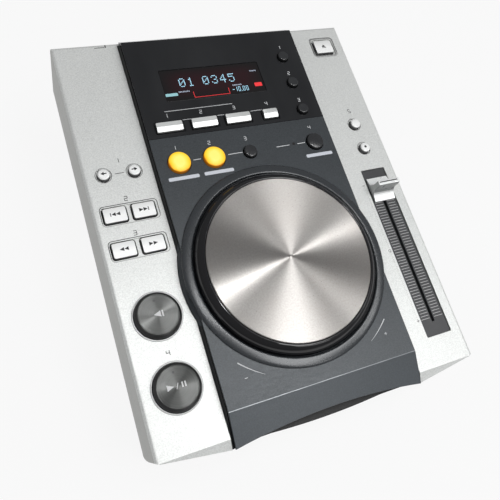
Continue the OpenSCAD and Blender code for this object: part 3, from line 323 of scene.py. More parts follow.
def black_button():
    """Small black buttons: a paler top and a near-black glossy wall, painted as light and shade on
    one plastic.
    """
    s = Shader("black_button", Specular_IOR_Level=0.8)
    at = s.place()
    top = s.mix(s.noise(at, 0.3, 3.0), srgb(20, 22, 25), srgb(32, 34, 37))
    # Painted light and shade: the top is paler and the wall near-black.
    s.out("Base Color", s.mix(s.upright(0.6, 0.97), top, srgb(5, 5, 7)))
    s.out("Roughness", s.level(s.noise(at, 0.2), 0.3, 0.7, 0.2, 0.26))
    s.bump(s.noise(at, 1.6), 0.002)
    return s.material


def dusty_gloss(name, shade, haze, rough, dust, level):
    """Polished black plastic with specks of dust."""
    s = Shader(name, Specular_IOR_Level=level)
    at = s.place()
    specks = s.ramp(s.cells(at, 0.5), (0.0, 1.0), (0.055, 0.0))
    patches = s.ramp(s.noise(at, 0.06, 4.0), (0.45, 0.0), (0.7, 1.0))
    share = s.math("MULTIPLY", specks, s.math("MULTIPLY", patches, dust))
    smears = s.noise(s.place(stretch=(1, 0.3, 1)), 0.05, 3.0)
    s.out("Base Color", s.mix(share, s.mix(smears, shade, haze), srgb(150, 150, 150)))
    s.out("Roughness", s.level(smears, 0.3, 0.7, rough, rough + 0.1))
    s.bump(s.noise(at, 0.08), 0.01)
    return s.material


def gloss_black():
    return dusty_gloss("gloss_black", srgb(24, 25, 27), srgb(40, 41, 43), 0.16, 0.5, 0.3)


def rim_black():
    return dusty_gloss("rim_black", srgb(6, 6, 8), srgb(22, 22, 25), 0.06, 0.3, 0.5)


def red_lens():
    """Smoked red window: it glows a little round the lit characters and is black at its edge."""
    s = Shader("red_lens", Roughness=0.08, Specular_IOR_Level=0.35)
    x, y = s.parts(s.place(*WINDOW))[:2]
    across = s.level(s.math("ABSOLUTE", x), 24.0, 36.0, 1.0, 0.0)
    along = s.level(s.math("ABSOLUTE", y), 4.0, 12.0, 1.0, 0.0)
    glow = s.math("MULTIPLY", across, along)
    mottle = s.noise(s.place(), 0.09, 3.0)
    s.out("Base Color", s.mix(glow, srgb(18, 17, 18), srgb(30, 14, 18)))
    s.out("Emission Color", s.mix(mottle, srgb(70, 10, 20), srgb(100, 16, 28)))
    s.out("Emission Strength", s.math("MULTIPLY", glow, 0.07))
    return s.material


def dark_glass():
    s = Shader("dark_glass", Roughness=0.1)
    s.out("Base Color", s.mix(s.noise(s.place(), 0.2), srgb(18, 26, 28), srgb(34, 48, 50)))
    return s.material


def metal(name, dark, light, rough, stretch=(1, 1, 1)):
    """Plated or ground metal with marks drawn out along one direction."""
    s = Shader(name, Metallic=1.0)
    marks = s.noise(s.place(stretch=stretch), 0.6, 4.0, 0.6)
    s.out("Base Color", s.mix(marks, dark, light))
    s.out("Roughness", s.level(marks, 0.3, 0.7, rough, rough + 0.12))
    s.bump(marks, 0.008)
    return s.material


def zinc_steel():
    s = Shader("zinc_steel", Metallic=1.0)
    at = s.place()
    spangle = s.cells(at, 0.12)
    s.out("Base Color", s.mix(spangle, srgb(150, 153, 156), srgb(196, 199, 200)))
    s.out("Roughness", s.level(s.noise(at, 0.5), 0.3, 0.7, 0.32, 0.46))
    s.bump(s.noise(at, 1.1), 0.01)
    return s.material


def bright_steel():
    return metal("bright_steel", srgb(176, 178, 180), srgb(222, 223, 224), 0.14, (1, 0.1, 1))


def dark_steel():
    return metal("dark_steel", srgb(44, 45, 48), srgb(78, 79, 82), 0.32, (0.3, 1, 1))


def nickel():
    return metal("nickel", srgb(178, 176, 168), srgb(214, 212, 204), 0.16)


def brass():
    return metal("brass", srgb(160, 128, 62), srgb(206, 174, 98), 0.22)


def chrome_trim():
    """Satin plating, with no marks that would break up its narrow highlight."""
    s = Shader("chrome_trim", Metallic=0.4)
    at = s.place()
    s.out("Base Color", s.mix(s.noise(at, 0.15, 2.0), srgb(146, 147, 147), srgb(168, 169, 169)))
    s.out("Roughness", s.level(s.noise(at, 0.1), 0.3, 0.7, 0.3, 0.36))
    return s.material


def silver_key(name, row, half):
    """Satin silver keys of one row: bright tops painted greyer towards the rear, over walls and
    flanges painted darker, all as shade.
    """
    s = Shader(name, Metallic=0.15)
    at = s.place()
    flakes = s.noise(at, 3.0, 2.0)
    wear_and_painted_highlight = s.noise(at, 0.11, 3.0)
    # Painted shade: each row's tops turn greyer towards the rear.
    rear = s.level(s.parts(s.place(BIG_U, row))[1], -0.3 * half, half, 0.0, 1.0)
    front = s.mix(flakes, srgb(242, 243, 242), srgb(251, 252, 251))
    top = s.mix(rear, front, srgb(216, 217, 216))
    # Painted shade: the walls are a darker grey and the flanges under the wing near-black.
    walls = s.mix(s.upright(0.2, 0.5), top, srgb(92, 92, 93))
    s.out("Base Color", s.mix(s.under(WING_FLANGES), walls, srgb(10, 10, 11)))
    s.out("Roughness", s.level(wear_and_painted_highlight, 0.3, 0.7, 0.34, 0.4))
    s.bump(flakes, 0.003)
    return s.material


def effect_key():
    """Satin metal bars with walls painted greyer and flanges painted dark, as shade."""
    s = Shader("effect_key", Metallic=0.4)
    at = s.place()
    flakes = s.noise(at, 3.0, 2.0)
    tone = s.mix(flakes, srgb(206, 208, 207), srgb(216, 218, 217))
    # Painted shade: greyer walls, and near-black flanges under the deck.
    walls = s.mix(s.upright(0.2, 0.5), tone, srgb(120, 121, 121))
    s.out("Base Color", s.mix(s.under(DECK_FLANGES), walls, srgb(10, 10, 11)))
    s.out("Roughness", s.level(s.noise(at, 0.2, 3.0), 0.3, 0.7, 0.3, 0.36))
    s.bump(flakes, 0.003)
    return s.material


def fader_knob():
    """Satin silver knob, painted darker on its side walls and darkest on its front and rear walls,
    as shade.
    """
    s = Shader("fader_knob", Metallic=0.2)
    at = s.place()
    flakes = s.noise(at, 2.4, 2.0)
    top = s.mix(flakes, srgb(236, 238, 237), srgb(246, 248, 247))
    # Painted shade: walls facing front or rear are darkest, the other walls darker than the top.
    facing = s.parts(s.add("NewGeometry").outputs["Normal"])
    painted_shade_front_rear = s.level(s.math("ABSOLUTE", facing[1]), 0.5, 0.85, 0.0, 1.0)
    sides = s.mix(s.upright(0.2, 0.6), top, srgb(190, 192, 191))
    s.out("Base Color", s.mix(painted_shade_front_rear, sides, srgb(128, 130, 130)))
    s.out("Roughness", s.level(s.noise(at, 0.2, 3.0), 0.3, 0.7, 0.26, 0.36))
    s.bump(flakes, 0.004)
    return s.material


def circuit_board():
    """Green solder mask with tracks and pads."""
    s = Shader("circuit_board", Specular_IOR_Level=0.5)
    at = s.place()
    tracks = s.add("TexBrick", {"Vector": at, "Scale": 0.22, "Mortar Size": 0.04}, offset=0.37)
    mask = s.mix(tracks.outputs["Fac"], srgb(18, 82, 44), srgb(46, 122, 66))
    pads = s.ramp(s.cells(at, 0.3), (0.1, 1.0), (0.14, 0.0))
    s.out("Base Color", s.mix(pads, mask, srgb(196, 186, 130)))
    s.out("Roughness", s.level(s.noise(at, 0.3), 0.3, 0.7, 0.3, 0.45))
    s.bump(tracks.outputs["Fac"], 0.03)
    return s.material


def spun_metal():
    """Aluminium turned on a lathe: circular marks, a grey bloom of handling and dark pits."""
    s = Shader("spun_metal", Metallic=1.0, Anisotropic=1.0)
    at = s.place(*JOG)
    turned = s.radius(at)
    rings = s.noise(s.flat(turned, 0.0), 3.2, 3.0, 0.75)
    bloom = s.noise(at, 0.035, 4.0, 0.6)
    grain = s.noise(at, 0.9, 3.0, 0.75)
    pits = s.ramp(s.cells(at, 0.4), (0.07, 1.0), (0.12, 0.0))
    pitted = s.math("MULTIPLY", pits, s.ramp(s.noise(at, 0.05, 3.0), (0.4, 0.0), (0.62, 1.0)))
    tone = s.mix(rings, srgb(156, 154, 151), srgb(184, 181, 178))
    tone = s.mix(s.level(grain, 0.36, 0.64, 0.0, 0.4), tone, srgb(136, 133, 130))
    tone = s.mix(s.level(bloom, 0.4, 0.7, 0.0, 0.35), tone, srgb(156, 150, 145))
    s.out("Base Color", s.mix(s.math("MULTIPLY", pitted, 0.6), tone, srgb(84, 79, 75)))
    s.out("Roughness", s.level(grain, 0.3, 0.7, 0.28, 0.34))
    s.bump(s.math("ADD", s.math("MULTIPLY", rings, 0.6), s.math("MULTIPLY", grain, 0.2)), 0.006)
    s.spin(at)
    return s.material


def dark_metal_cap(name, u, v):
    """Gunmetal cap with circular marks, inside its black skirt."""
    s = Shader(name, Anisotropic=1.0)
    at = s.place(u, v)
    turned = s.radius(at)
    cap = s.level(turned, BIG_CAP_R - 0.05, BIG_CAP_R + 0.05, 1.0, 0.0)
    rings = s.noise(s.flat(turned, 0.0), 1.1, 1.0)
    metal_tone = s.mix(rings, srgb(76, 77, 76), srgb(90, 91, 90))
    s.out("Base Color", s.mix(cap, srgb(14, 14, 15), metal_tone))
    s.out("Metallic", cap)
    s.out("Roughness", s.level(s.noise(at, 0.3, 2.0), 0.3, 0.7, 0.28, 0.31))
    s.spin(at)
    return s.material


def amber_button(name, u):
    """Lit cap: yellow in the middle, orange towards its edge and down its wall."""
    s = Shader(name, Roughness=0.35, Specular_IOR_Level=0.4)
    at = s.place(u, LOOP_V)
    edge = s.level(s.radius(at), 3.0, 7.3, 0.0, 1.0)
    cloud = s.noise(at, 0.16, 2.0)
    mixed = s.math("ADD", edge, s.level(cloud, 0.3, 0.7, -0.12, 0.12))
    glow = s.ramp(mixed, (0.0, srgb(255, 244, 126)), (0.5, srgb(255, 226, 70)),
                  (0.85, srgb(255, 196, 26)), (1.0, srgb(214, 128, 10)))
    s.out("Base Color", srgb(90, 54, 8))
    lit = s.mix(s.upright(0.3, 0.8), glow, srgb(120, 70, 6))
    # Painted shade: the flanges inside the deck glow only dimly.
    s.out("Emission Color", s.mix(s.under(DECK_FLANGES), lit, srgb(30, 18, 3)))
    s.surface.inputs["Emission Strength"].default_value = 1.0
    return s.material


def plain(name, colour, rough=0.5, glow=0.0):
    """Flat colour for printing ink, lit marks and painted shade, with a slight unevenness."""
    s = Shader(name, Roughness=rough)
    shade = tuple(c * 0.82 for c in colour[:3]) + (1.0,)
    s.out("Base Color", s.mix(s.noise(s.place(), 1.1, 2.0), shade, colour))
    if glow:
        s.surface.inputs["Emission Color"].default_value = colour
        s.surface.inputs["Emission Strength"].default_value = glow
    return s.material


SLOT_MAKERS = {
    "silver_case": silver_case, "black_plastic": black_plastic, "deck_blue_grey": deck_blue_grey,
    "gloss_black": gloss_black, "red_lens": red_lens, "dark_glass": dark_glass,
    "black_steel": black_steel, "rubber": rubber, "dark_insert": dark_insert,
    "zinc_steel": zinc_steel, "bright_steel": bright_steel, "dark_steel": dark_steel,
    "circuit_board": circuit_board, "nickel": nickel, "brass": brass, "chrome_trim": chrome_trim,
    "spun_metal": spun_metal, "black_button": black_button,
}
# Rows of silver keys: a material's name, its nodes, the row's v and half of the keys' depth
SILVER_ROWS = (
    ("track_silver", ("track_back_key", "track_forward_key"), TRACK_V, 5.0),
    ("search_silver", ("search_back_key", "search_forward_key"), SEARCH_V, 5.0),
    ("eject_silver", ("eject_key",), EJECT_V, 5.5),
    ("folder_silver", ("folder_back_button", "folder_forward_button"), FOLDER_V, 4.5),
    ("range_silver", ("range_button",), RANGE_V, 4.5),
    ("lock_silver", ("lock_button",), LOCK_V, 4.5),
)
# Widths of the rounded edges, and the least angle in degrees of an edge that is rounded
EDGE_WIDTH = {
    "upper_case": 0.45, "base_case": 0.4, "fader_knob": 0.35, "deck_panel": 0.3,
    "centre_frame": 0.3, "jog_rim": 0.2, "jog_disc": 0.12, "trim_rings": 0.2,
    "display_lens": 0.15,
} | dict.fromkeys(EFFECT_KEYS, 0.45)
EDGE_ANGLE = dict.fromkeys(("deck_panel", *EFFECT_KEYS), 12)
USUAL_EDGE = (0.25, 33)


def own_materials():
    """Materials of the nodes that need more than their slot's."""
    made = {
        "cue_button": dark_metal_cap("cue_cap", BIG_U, CUE_V),
        "play_button": dark_metal_cap("play_cap", BIG_U, PLAY_V),
        "loop_in_button": amber_button("loop_in_light", AMBER_U[0]),
        "loop_out_button": amber_button("loop_out_light", AMBER_U[1]),
        "jog_rim": rim_black(),
        "jog_ring": ring_paint(),
        "centre_frame": frame_black(),
        "fader_knob": fader_knob(),
        "slot_bezel": bezel_black(),
    }
    made |= dict.fromkeys(EFFECT_KEYS, effect_key())
    for name, nodes, row, half in SILVER_ROWS:
        made |= dict.fromkeys(nodes, silver_key(name, row, half))
    return made


def finish_nodes():
    """Gives every CAD node its material and softens its sharp edges."""
    own = own_materials()
    usual = {slot: maker() for slot, maker in SLOT_MAKERS.items()}
    width, angle = USUAL_EDGE
    for part in frame["record"]["subparts"]:
        name = part["node"]
        piece = frame["nodes"][name]
        piece.data.materials.clear()
        piece.data.materials.append(own.get(name) or usual[part["material_slot"]])
        soften(piece, EDGE_WIDTH.get(name, width), EDGE_ANGLE.get(name, angle))


def soften(piece, width, angle):
    """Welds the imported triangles, merges flat ones and rounds the sharp edges left."""
    weld = piece.modifiers.new("weld", "WELD")
    weld.merge_threshold = 1e-6
    merge = piece.modifiers.new("merge", "DECIMATE")
    merge.decimate_type = "DISSOLVE"
    merge.angle_limit = math.radians(0.4)
    bevel = piece.modifiers.new("bevel", "BEVEL")
    bevel.width = width * MM
    bevel.segments = 2
    bevel.limit_method = "ANGLE"
    bevel.angle_limit = math.radians(angle)
    bevel.harden_normals = True
    bevel.use_clamp_overlap = True


# Printed and lit marks, and painted shade round the keys


class Ink:
    """Thin closed shapes on one face of the object, gathered into one piece."""

    LIFT, SINK = 0.05, 0.02

    def __init__(self, w=0.0):
        self.w = w
        self.mesh = bmesh.new()

    def corner(self, point, w):
        return self.mesh.verts.new(on_deck(point[0], point[1], w))

    def shape(self, points):
        top = [self.corner(p, self.w + self.LIFT) for p in points]
        low = [self.corner(p, self.w - self.SINK) for p in points]
        self.mesh.faces.new(top)
        self.mesh.faces.new(low[::-1])
        for i in range(len(points)):
            j = (i + 1) % len(points)
            self.mesh.faces.new((top[i], low[i], low[j], top[j]))

    def band(self, outer, inner, closed=True):
        """A band between two outlines with as many points each."""
        rows = [[self.corner(p, w) for p in line]
                for line in (outer, inner)
                for w in (self.w + self.LIFT, self.w - self.SINK)]
        out_top, out_low, in_top, in_low = rows
        if not closed:
            for i in (0, -1):
                self.mesh.faces.new((out_top[i], out_low[i], in_low[i], in_top[i]))
        for i in range(len(outer) if closed else len(outer) - 1):
            j = (i + 1) % len(outer)
            self.mesh.faces.new((out_top[i], out_top[j], in_top[j], in_top[i]))
            self.mesh.faces.new((out_low[j], out_low[i], in_low[i], in_low[j]))
            self.mesh.faces.new((out_low[i], out_low[j], out_top[j], out_top[i]))
            self.mesh.faces.new((in_top[i], in_top[j], in_low[j], in_low[i]))

    def bar(self, u, v, du, dv):
        self.shape([(u - du / 2, v - dv / 2), (u + du / 2, v - dv / 2),
                    (u + du / 2, v + dv / 2), (u - du / 2, v + dv / 2)])

    def line(self, a, b, width):
        along = Vector((b[0] - a[0], b[1] - a[1])).normalized() * (width / 2)
        side = Vector((-along.y, along.x))
        self.shape([Vector(a) - side, Vector(b) - side, Vector(b) + side, Vector(a) + side])

    def minus(self, u, v, size=1.9, width=0.35):
        self.bar(u, v, size, width)

    def plus(self, u, v, size=1.9, width=0.35):
        self.bar(u, v, size, width)
        self.bar(u, v, width, size)

    def disc(self, u, v, r, steps=20):
        self.shape(circle(u, v, r, steps))

    def ring(self, u, v, r, width, steps=40):
        self.band(circle(u, v, r, steps), circle(u, v, r - width, steps))

    def frame(self, u, v, du, dv, r, part, width):
        """The rear or the front part of a line round a rectangle with round corners."""
        outer = rounded(u, v, du, dv, r)
        inner = rounded(u, v, du - 2 * width, dv - 2 * width, r - width)
        half = len(outer) // 2
        start, stop = {"rear": (-1, half + 1), "front": (half, 2 * half)}[part]
        picked = range(start, stop)
        self.band([outer[i] for i in picked], [inner[i] for i in picked], closed=False)

    def pill(self, u, v, du, dv, r):
        self.shape(rounded(u, v, du, dv, r))

    def arc(self, centre, r, start, stop, width, steps=16):
        """A stroke round a centre, from start to stop in degrees, that thins out on its way."""
        sides = ([], [])
        for i in range(steps + 1):
            a = math.radians(start) + math.radians(stop - start) * i / steps
            half = width / 2 * (1 - 0.8 * i / steps)
            for line, reach in zip(sides, (r + half, r - half)):
                line.append((centre[0] + reach * math.cos(a), centre[1] + reach * math.sin(a)))
        self.shape(sides[0] + sides[1][::-1])

    def triangle(self, u, v, du, dv, heading=1):
        self.shape([(u - heading * du / 2, v - heading * dv / 2),
                    (u + heading * du / 2, v), (u - heading * du / 2, v + heading * dv / 2)])

    def build(self, name, material, body):
        bmesh.ops.recalc_face_normals(self.mesh, faces=self.mesh.faces)
        data = bpy.data.meshes.new(name)
        self.mesh.to_mesh(data)
        self.mesh.free()
        data.materials.append(material)
        piece = bpy.data.objects.new(name, data)
        bpy.context.scene.collection.objects.link(piece)
        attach(piece, body)


def circle(u, v, r, steps):
    turns = [2 * math.pi * i / steps for i in range(steps)]
    return [(u + r * math.cos(a), v + r * math.sin(a)) for a in turns]


def rounded(u, v, du, dv, r, steps=5):
    """Outline of a rectangle with round corners."""
    line = []
    for k, (i, j) in enumerate(((1, 1), (-1, 1), (-1, -1), (1, -1))):
        mid_u, mid_v = u + i * (du / 2 - r), v + j * (dv / 2 - r)
        for s in range(steps + 1):
            a = math.pi / 2 * (k + s / steps)
            line.append((mid_u + r * math.cos(a), mid_v + r * math.sin(a)))
    return line


# Rows of dots, five across, of the lit numerals
NUMERALS = {
    "0": "01110 10001 10011 10101 11001 10001 01110",
    "1": "00100 01100 00100 00100 00100 00100 01110",
    "3": "01110 10001 00001 00110 00001 10001 01110",
    "4": "00010 00110 01010 10010 11111 00010 00010",
    "5": "11111 10000 11110 00001 00001 10001 01110",
}
# Strokes of the small numerals: top, upper right, lower right, bottom, lower left, upper left
# and middle
SEVEN = {"0": "1111110", "1": "0110000", "2": "1101101", "3": "1111001", "4": "0110011",
         "5": "1011011"}
# Small printed numerals: width, height and stroke, then each one's centre and sign
WING_SIGN = (1.8, 2.8, 0.42)
WING_NUMERALS = ((22.8, 178.6, "1"), (22.0, 152.4, "2"), (22.0, 129.3, "3"),
                 (22.2, 54.7, "4"), (197.0, 190.5, "5"))
DECK_SIGN = (1.5, 2.5, 0.38)
DECK_NUMERALS = (
    (59.8, 201.6, "1"), (83.4, 201.6, "2"), (107.0, 201.6, "3"), (131.2, 201.6, "4"),
    (58.8, 178.0, "1"), (82.2, 178.0, "2"), (107.6, 177.4, "3"), (156.4, 178.6, "4"),
    (156.6, 201.2, "3"), (156.6, 223.8, "2"), (156.6, 246.2, "1"),
)


def dot_numeral(ink, sign, u, v, pitch, dot):
    """One character of lit dots, with its lower left dot at u, v."""
    rows = NUMERALS[sign].split()
    for j, row in enumerate(rows):
        for i, lit in enumerate(row):
            if lit == "1":
                ink.bar(u + i * pitch, v + (len(rows) - 1 - j) * pitch * 1.12, dot, dot * 1.15)


def stroke_numeral(ink, sign, u, v, du, dv, width):
    """One character of straight strokes in a box with its lower left corner at u, v."""
    right, top, mid = u + du, v + dv, v + dv / 2
    strokes = [((u, top), (right, top)), ((right, mid), (right, top)), ((right, v), (right, mid)),
               ((u, v), (right, v)), ((u, v), (u, mid)), ((u, mid), (u, top)),
               ((u, mid), (right, mid))]
    for lit, (a, b) in zip(SEVEN[sign], strokes):
        if lit == "1":
            ink.line(a, b, width)


def small_numerals(ink, places, size):
    """Numerals of one size, each round its own centre."""
    du, dv, width = size
    for u, v, sign in places:
        stroke_numeral(ink, sign, u - du / 2, v - dv / 2, du, dv, width)


def skip_mark(ink, u, v, heading, bar):
    """Two arrow heads, with a bar at their tips if asked."""
    middle = u - heading * 0.4 if bar else u
    for i in (-1, 1):
        ink.triangle(middle + i * 1.35, v, 2.6, 2.4, heading)
    if bar:
        ink.bar(middle + heading * 3.1, v, 0.5, 2.4)


# The painted shadow of the gap round a key starts and ends this far from the key.
GAP_START, GAP_END = 0.4, 0.95
# Lines round the keys' wells, painted as the shade along the real well edges: centre, width, depth
# and corner radius
EJECT_MIDDLE = (RIGHT_U + 0.6, EJECT_V + 0.3)
KEY_FRAMES = (
    (BIG_U + 0.4, TRACK_V, 35.6, 13.4, 2.6), (BIG_U + 0.4, SEARCH_V, 35.6, 13.4, 2.6),
    (*EJECT_MIDDLE, 20.4, 17.4, 3.0),
)
# The line round the eject key's recess, painted as its shade: centre, width, depth and corner
# radius
EJECT_GROOVE = (*EJECT_MIDDLE, 19.2, 16.2, 2.4)
# Circles round the small round buttons
PIP_RING = (5.15, 0.25)
# The row of dots beside the fader
DOTS_U, DOT_COUNT, DOT_STEP = 185.0, 81, 1.25
# Lines across the fader's plate: count, step, length, and how often a longer one comes
TICK_COUNT, TICK_STEP, TICK_LENGTH, LONG_EVERY = 51, 2.0, 6.2, 10


def draw_painted_gap_shadows():
    """Painted shadow in the gaps round the keys: dark bands on the floor of their shallow wells,
    round the holes that the keys stand in.
    """
    ink = Ink(WELL_FLOOR)
    keys = [(BIG_U + side * KEY_PITCH / 2, v, KEY_W, KEY_D)
            for side in (-1, 1) for v in (TRACK_V, SEARCH_V)]
    for u, v, du, dv in keys + [(RIGHT_U, EJECT_V, EJECT_W, EJECT_D)]:
        outer = rounded(u, v, du + 2 * GAP_END, dv + 2 * GAP_END, 2.0)
        inner = rounded(u, v, du + 2 * GAP_START, dv + 2 * GAP_START, 1.4)
        ink.band(outer, inner)
    ink.build("draw_painted_gap_shadows", plain("gap_shadow_paint", srgb(14, 14, 15), 0.7), "body")


def wing_marks():
    """Lines of painted shade round the keys' wells, and printed lines, numerals and signs on the
    silver wings.
    """
    ink = Ink()
    # Painted shade: faint lines along the front halves of the wells' edges, and a wide line round
    # the eject key's recess.
    for line in KEY_FRAMES:
        ink.frame(*line, "front", 0.35)
    for part in ("rear", "front"):
        ink.frame(*EJECT_GROOVE, part, 0.8)
    ink.build("painted_well_shade", plain("faint_painted_shade", srgb(142, 143, 142)), "body")
    ink = Ink()
    # The line that points to the power button at the rear
    ink.bar(31.2, 263.2, 6.6, 0.45)
    ink.bar(35.2, 264.0, 0.7, 2.2)
    ink.bar(BIG_U + 0.3, FOLDER_V, 5.6, 0.4)
    for side in (-1, 1):
        ink.ring(BIG_U + side * FOLDER_PITCH / 2, FOLDER_V, *PIP_RING)
    for v in (RANGE_V, LOCK_V):
        ink.ring(RIGHT_U, v, *PIP_RING)
    # Painted shade: dark lines along the rear halves of the wells' edges.
    for line in KEY_FRAMES:
        ink.frame(*line, "rear", 0.45)
    for i in range(DOT_COUNT):
        ink.disc(DOTS_U, FADER_V - FADER_HALF + DOT_STEP * i, 0.16, 6)
    ink.minus(184.7, 130.5)
    ink.plus(185.2, 30.6)
    ink.ring(184.9, 80.8, 1.05, 0.3, 18)
    small_numerals(ink, WING_NUMERALS, WING_SIGN)
    ink.build("wing_marks", plain("dark_ink_and_painted_shade", srgb(46, 47, 48)), "body")


def key_marks():
    """Arrows on the silver keys and buttons."""
    ink_material = plain("key_ink", srgb(26, 26, 28), 0.45)
    for name, side, v, bar in (
        ("track_back", -1, TRACK_V, True), ("track_forward", 1, TRACK_V, True),
        ("search_back", -1, SEARCH_V, False), ("search_forward", 1, SEARCH_V, False),
    ):
        ink = Ink(KEY_TOP)
        skip_mark(ink, BIG_U + side * KEY_PITCH / 2, v, side, bar)
        ink.build(name + "_mark", ink_material, name + "_key")
    for name, side in (("folder_back", -1), ("folder_forward", 1)):
        ink = Ink(PIP_TOP)
        u = BIG_U + side * FOLDER_PITCH / 2
        ink.triangle(u + side * 0.8, FOLDER_V, 2.0, 2.4, side)
        ink.bar(u - side * 1.0, FOLDER_V, 1.7, 0.7)
        ink.build(name + "_mark", ink_material, name + "_button")
    ink = Ink(KEY_TOP)
    ink.shape([(RIGHT_U - 1.7, EJECT_V - 0.5), (RIGHT_U + 1.7, EJECT_V - 0.5),
               (RIGHT_U, EJECT_V + 1.5)])
    ink.bar(RIGHT_U, EJECT_V - 1.2, 3.4, 0.5)
    ink.build("eject_mark", ink_material, "eject_key")
    ink = Ink(PIP_TOP)
    ink.disc(RIGHT_U, LOCK_V, 0.9)
    ink.build("lock_light", ink_material, "lock_button")


def cap_marks():
    """A pale symbol and a small dark light on each big button."""
    white = plain("white_ink", srgb(206, 207, 208), 0.45)
    dark = plain("cap_ink", srgb(40, 40, 42), 0.4)
    for name, v in (("cue", CUE_V), ("play", PLAY_V)):
        ink = Ink(BIG_TOP)
        if name == "play":
            ink.triangle(BIG_U - 4.1, v + 0.4, 3.9, 3.4)
            ink.line((BIG_U - 0.9, v - 1.3), (BIG_U + 0.5, v + 1.9), 0.4)
            for i in (0, 1):
                ink.bar(BIG_U + 2.7 + 1.7 * i, v + 0.4, 0.8, 3.0)
        else:
            ink.triangle(BIG_U - 0.6, v, 4.2, 3.6, -1)
            ink.bar(BIG_U + 2.6, v, 0.9, 3.6)
        ink.build(name + "_symbol", white, name + "_button")
        ink = Ink(BIG_TOP)
        ink.disc(BIG_U - 0.6, v + 8.1, 0.75)
        ink.build(name + "_light", dark, name + "_button")


def deck_marks():
    """Lines, numerals, arcs and pale plates printed on the deck and its fascia."""
    ink = Ink(DECK_TOP)
    for v, width, spans in (
        (LOOP_V + 0.3, 0.5, ((68.6, 73.6), (92.4, 102.5), (127.3, 137.1), (143.3, 149.1))),
        (204.8, 0.4, ((59.5, 106.9),)),
        (197.2, 0.35, ((69.7, 76.0), (93.8, 98.8), (117.8, 126.8))),
    ):
        for a, b in spans:
            ink.bar((a + b) / 2, v, b - a, width)
    small_numerals(ink, DECK_NUMERALS, DECK_SIGN)
    for start, stop in ((226, 240), (314, 300)):
        ink.arc(JOG, 72.0, start, stop, 0.7)
    ink.minus(59.9, 28.4)
    ink.plus(154.9, 29.0)
    ink.build("deck_marks", plain("pale_ink", srgb(204, 206, 208)), "body")
    ink = Ink(DECK_TOP)
    for u, v in ((59.5, 156.5), (83.0, 156.7), (156.6, 157.2)):
        ink.pill(u, v, 20.0, 2.4, 0.8)
    ink.build("deck_pills", plain("pill_ink", srgb(206, 210, 218)), "body")
    ink = Ink(DECK_TOP)
    ink.disc(140.5, 168.0, 1.1)
    ink.build("loop_light", plain("light_off", srgb(24, 20, 22), 0.3), "body")


def display_marks():
    """Lit characters and bars of the display, just proud of its window."""
    ink = Ink(LENS_TOP)
    for u, sign in zip((75.5, 81.6, 92.2, 98.6, 104.8, 111.0), "010345"):
        dot_numeral(ink, sign, u, 222.5, 0.88, 0.62)
    for u, sign in zip((112.8, 115.3, 118.7, 121.2), "1000"):
        stroke_numeral(ink, sign, u, 214.2, 1.3, 3.4, 0.3)
    ink.minus(111.6, 215.8, 1.4, 0.4)
    ink.disc(117.7, 214.1, 0.3, 8)
    blue = plain("lit_blue", srgb(150, 196, 216), glow=0.85)
    ink.build("display_characters", blue, "body")
    ink = Ink(LENS_TOP)
    ink.pill(67.9, 216.9, 8.4, 2.2, 0.4)
    cyan = plain("lit_cyan", srgb(128, 172, 178), glow=0.5)
    ink.build("display_tag", cyan, "body")
    ink = Ink(LENS_TOP)
    for u, v, du in ((76.9, 218.4, 8.2), (115.4, 219.2, 7.6), (130.3, 229.2, 5.4)):
        for i in range(int(du)):
            ink.bar(u - du / 2 + 0.5 + i, v, 0.6, 1.0)
    pale = plain("lit_pale", srgb(150, 160, 176), glow=0.45)
    ink.build("display_labels", pale, "body")
    ink = Ink(LENS_TOP)
    left, right, foot, head = 83.0, 108.2, 213.1, 217.6
    ink.line((left, head), (left, foot), 0.35)
    ink.line((left, foot), (right, foot), 0.35)
    ink.line((right, foot), (right, head), 0.35)
    ink.pill(130.8, 217.8, 5.6, 3.0, 0.5)
    red = plain("lit_red", srgb(204, 42, 46), glow=0.65)
    ink.build("display_scale", red, "body")


def fader_marks():
    """Scale lines on both sides of the fader's slit, and the line on its knob."""
    ink = Ink(FADER_TOP)
    for i in range(TICK_COUNT):
        v = FADER_V - FADER_HALF + TICK_STEP * i
        extra = 0.3 if i % LONG_EVERY == 0 else 0.0
        ink.bar(RIGHT_U - 4.9 - extra, v, TICK_LENGTH + 2 * extra, 0.35)
        ink.bar(RIGHT_U + 5.0 + extra, v, TICK_LENGTH + 2 * extra, 0.35)
    ink.build("fader_scale", plain("scale_ink", srgb(184, 184, 184)), "body")
    ink = Ink(KNOB_TOP)
    ink.bar(RIGHT_U - 0.3, KNOB_V + 0.2, 14.6, 0.8)
    line_ink = plain("line_ink", srgb(40, 40, 42), 0.45)
    ink.build("fader_line", line_ink, "fader_knob")


# Floor, lights and camera


def stage_floor():
    """A pale floor that shows white to the camera and in metal, and keeps the shadow."""
    reach = 4.0
    corners = [(x, y, 0) for x, y in ((-reach, -reach), (reach, -reach), (reach, reach),
                                      (-reach, reach))]
    data = bpy.data.meshes.new("floor")
    data.from_pydata(corners, [], [(0, 1, 2, 3)])
    floor = bpy.data.objects.new("floor", data)
    bpy.context.scene.collection.objects.link(floor)
    s = Shader("floor", Base_Color=(0.5, 0.5, 0.5, 1), Roughness=0.9, Specular_IOR_Level=0.1)
    rays = s.add("LightPath").outputs
    other = s.math("MAXIMUM", rays["Is Glossy Ray"], rays["Is Transmission Ray"])
    share = s.math("MULTIPLY", s.math("MAXIMUM", rays["Is Camera Ray"], other), 0.9)
    glow = s.add("Emission", {"Color": (1, 1, 1, 1)}).outputs[0]
    both = s.add("MixShader", {0: share, 1: s.surface.outputs[0], 2: glow}).outputs[0]
    s.feed(s.tree.nodes["Material Output"].inputs["Surface"], both)
    data.materials.append(s.material)


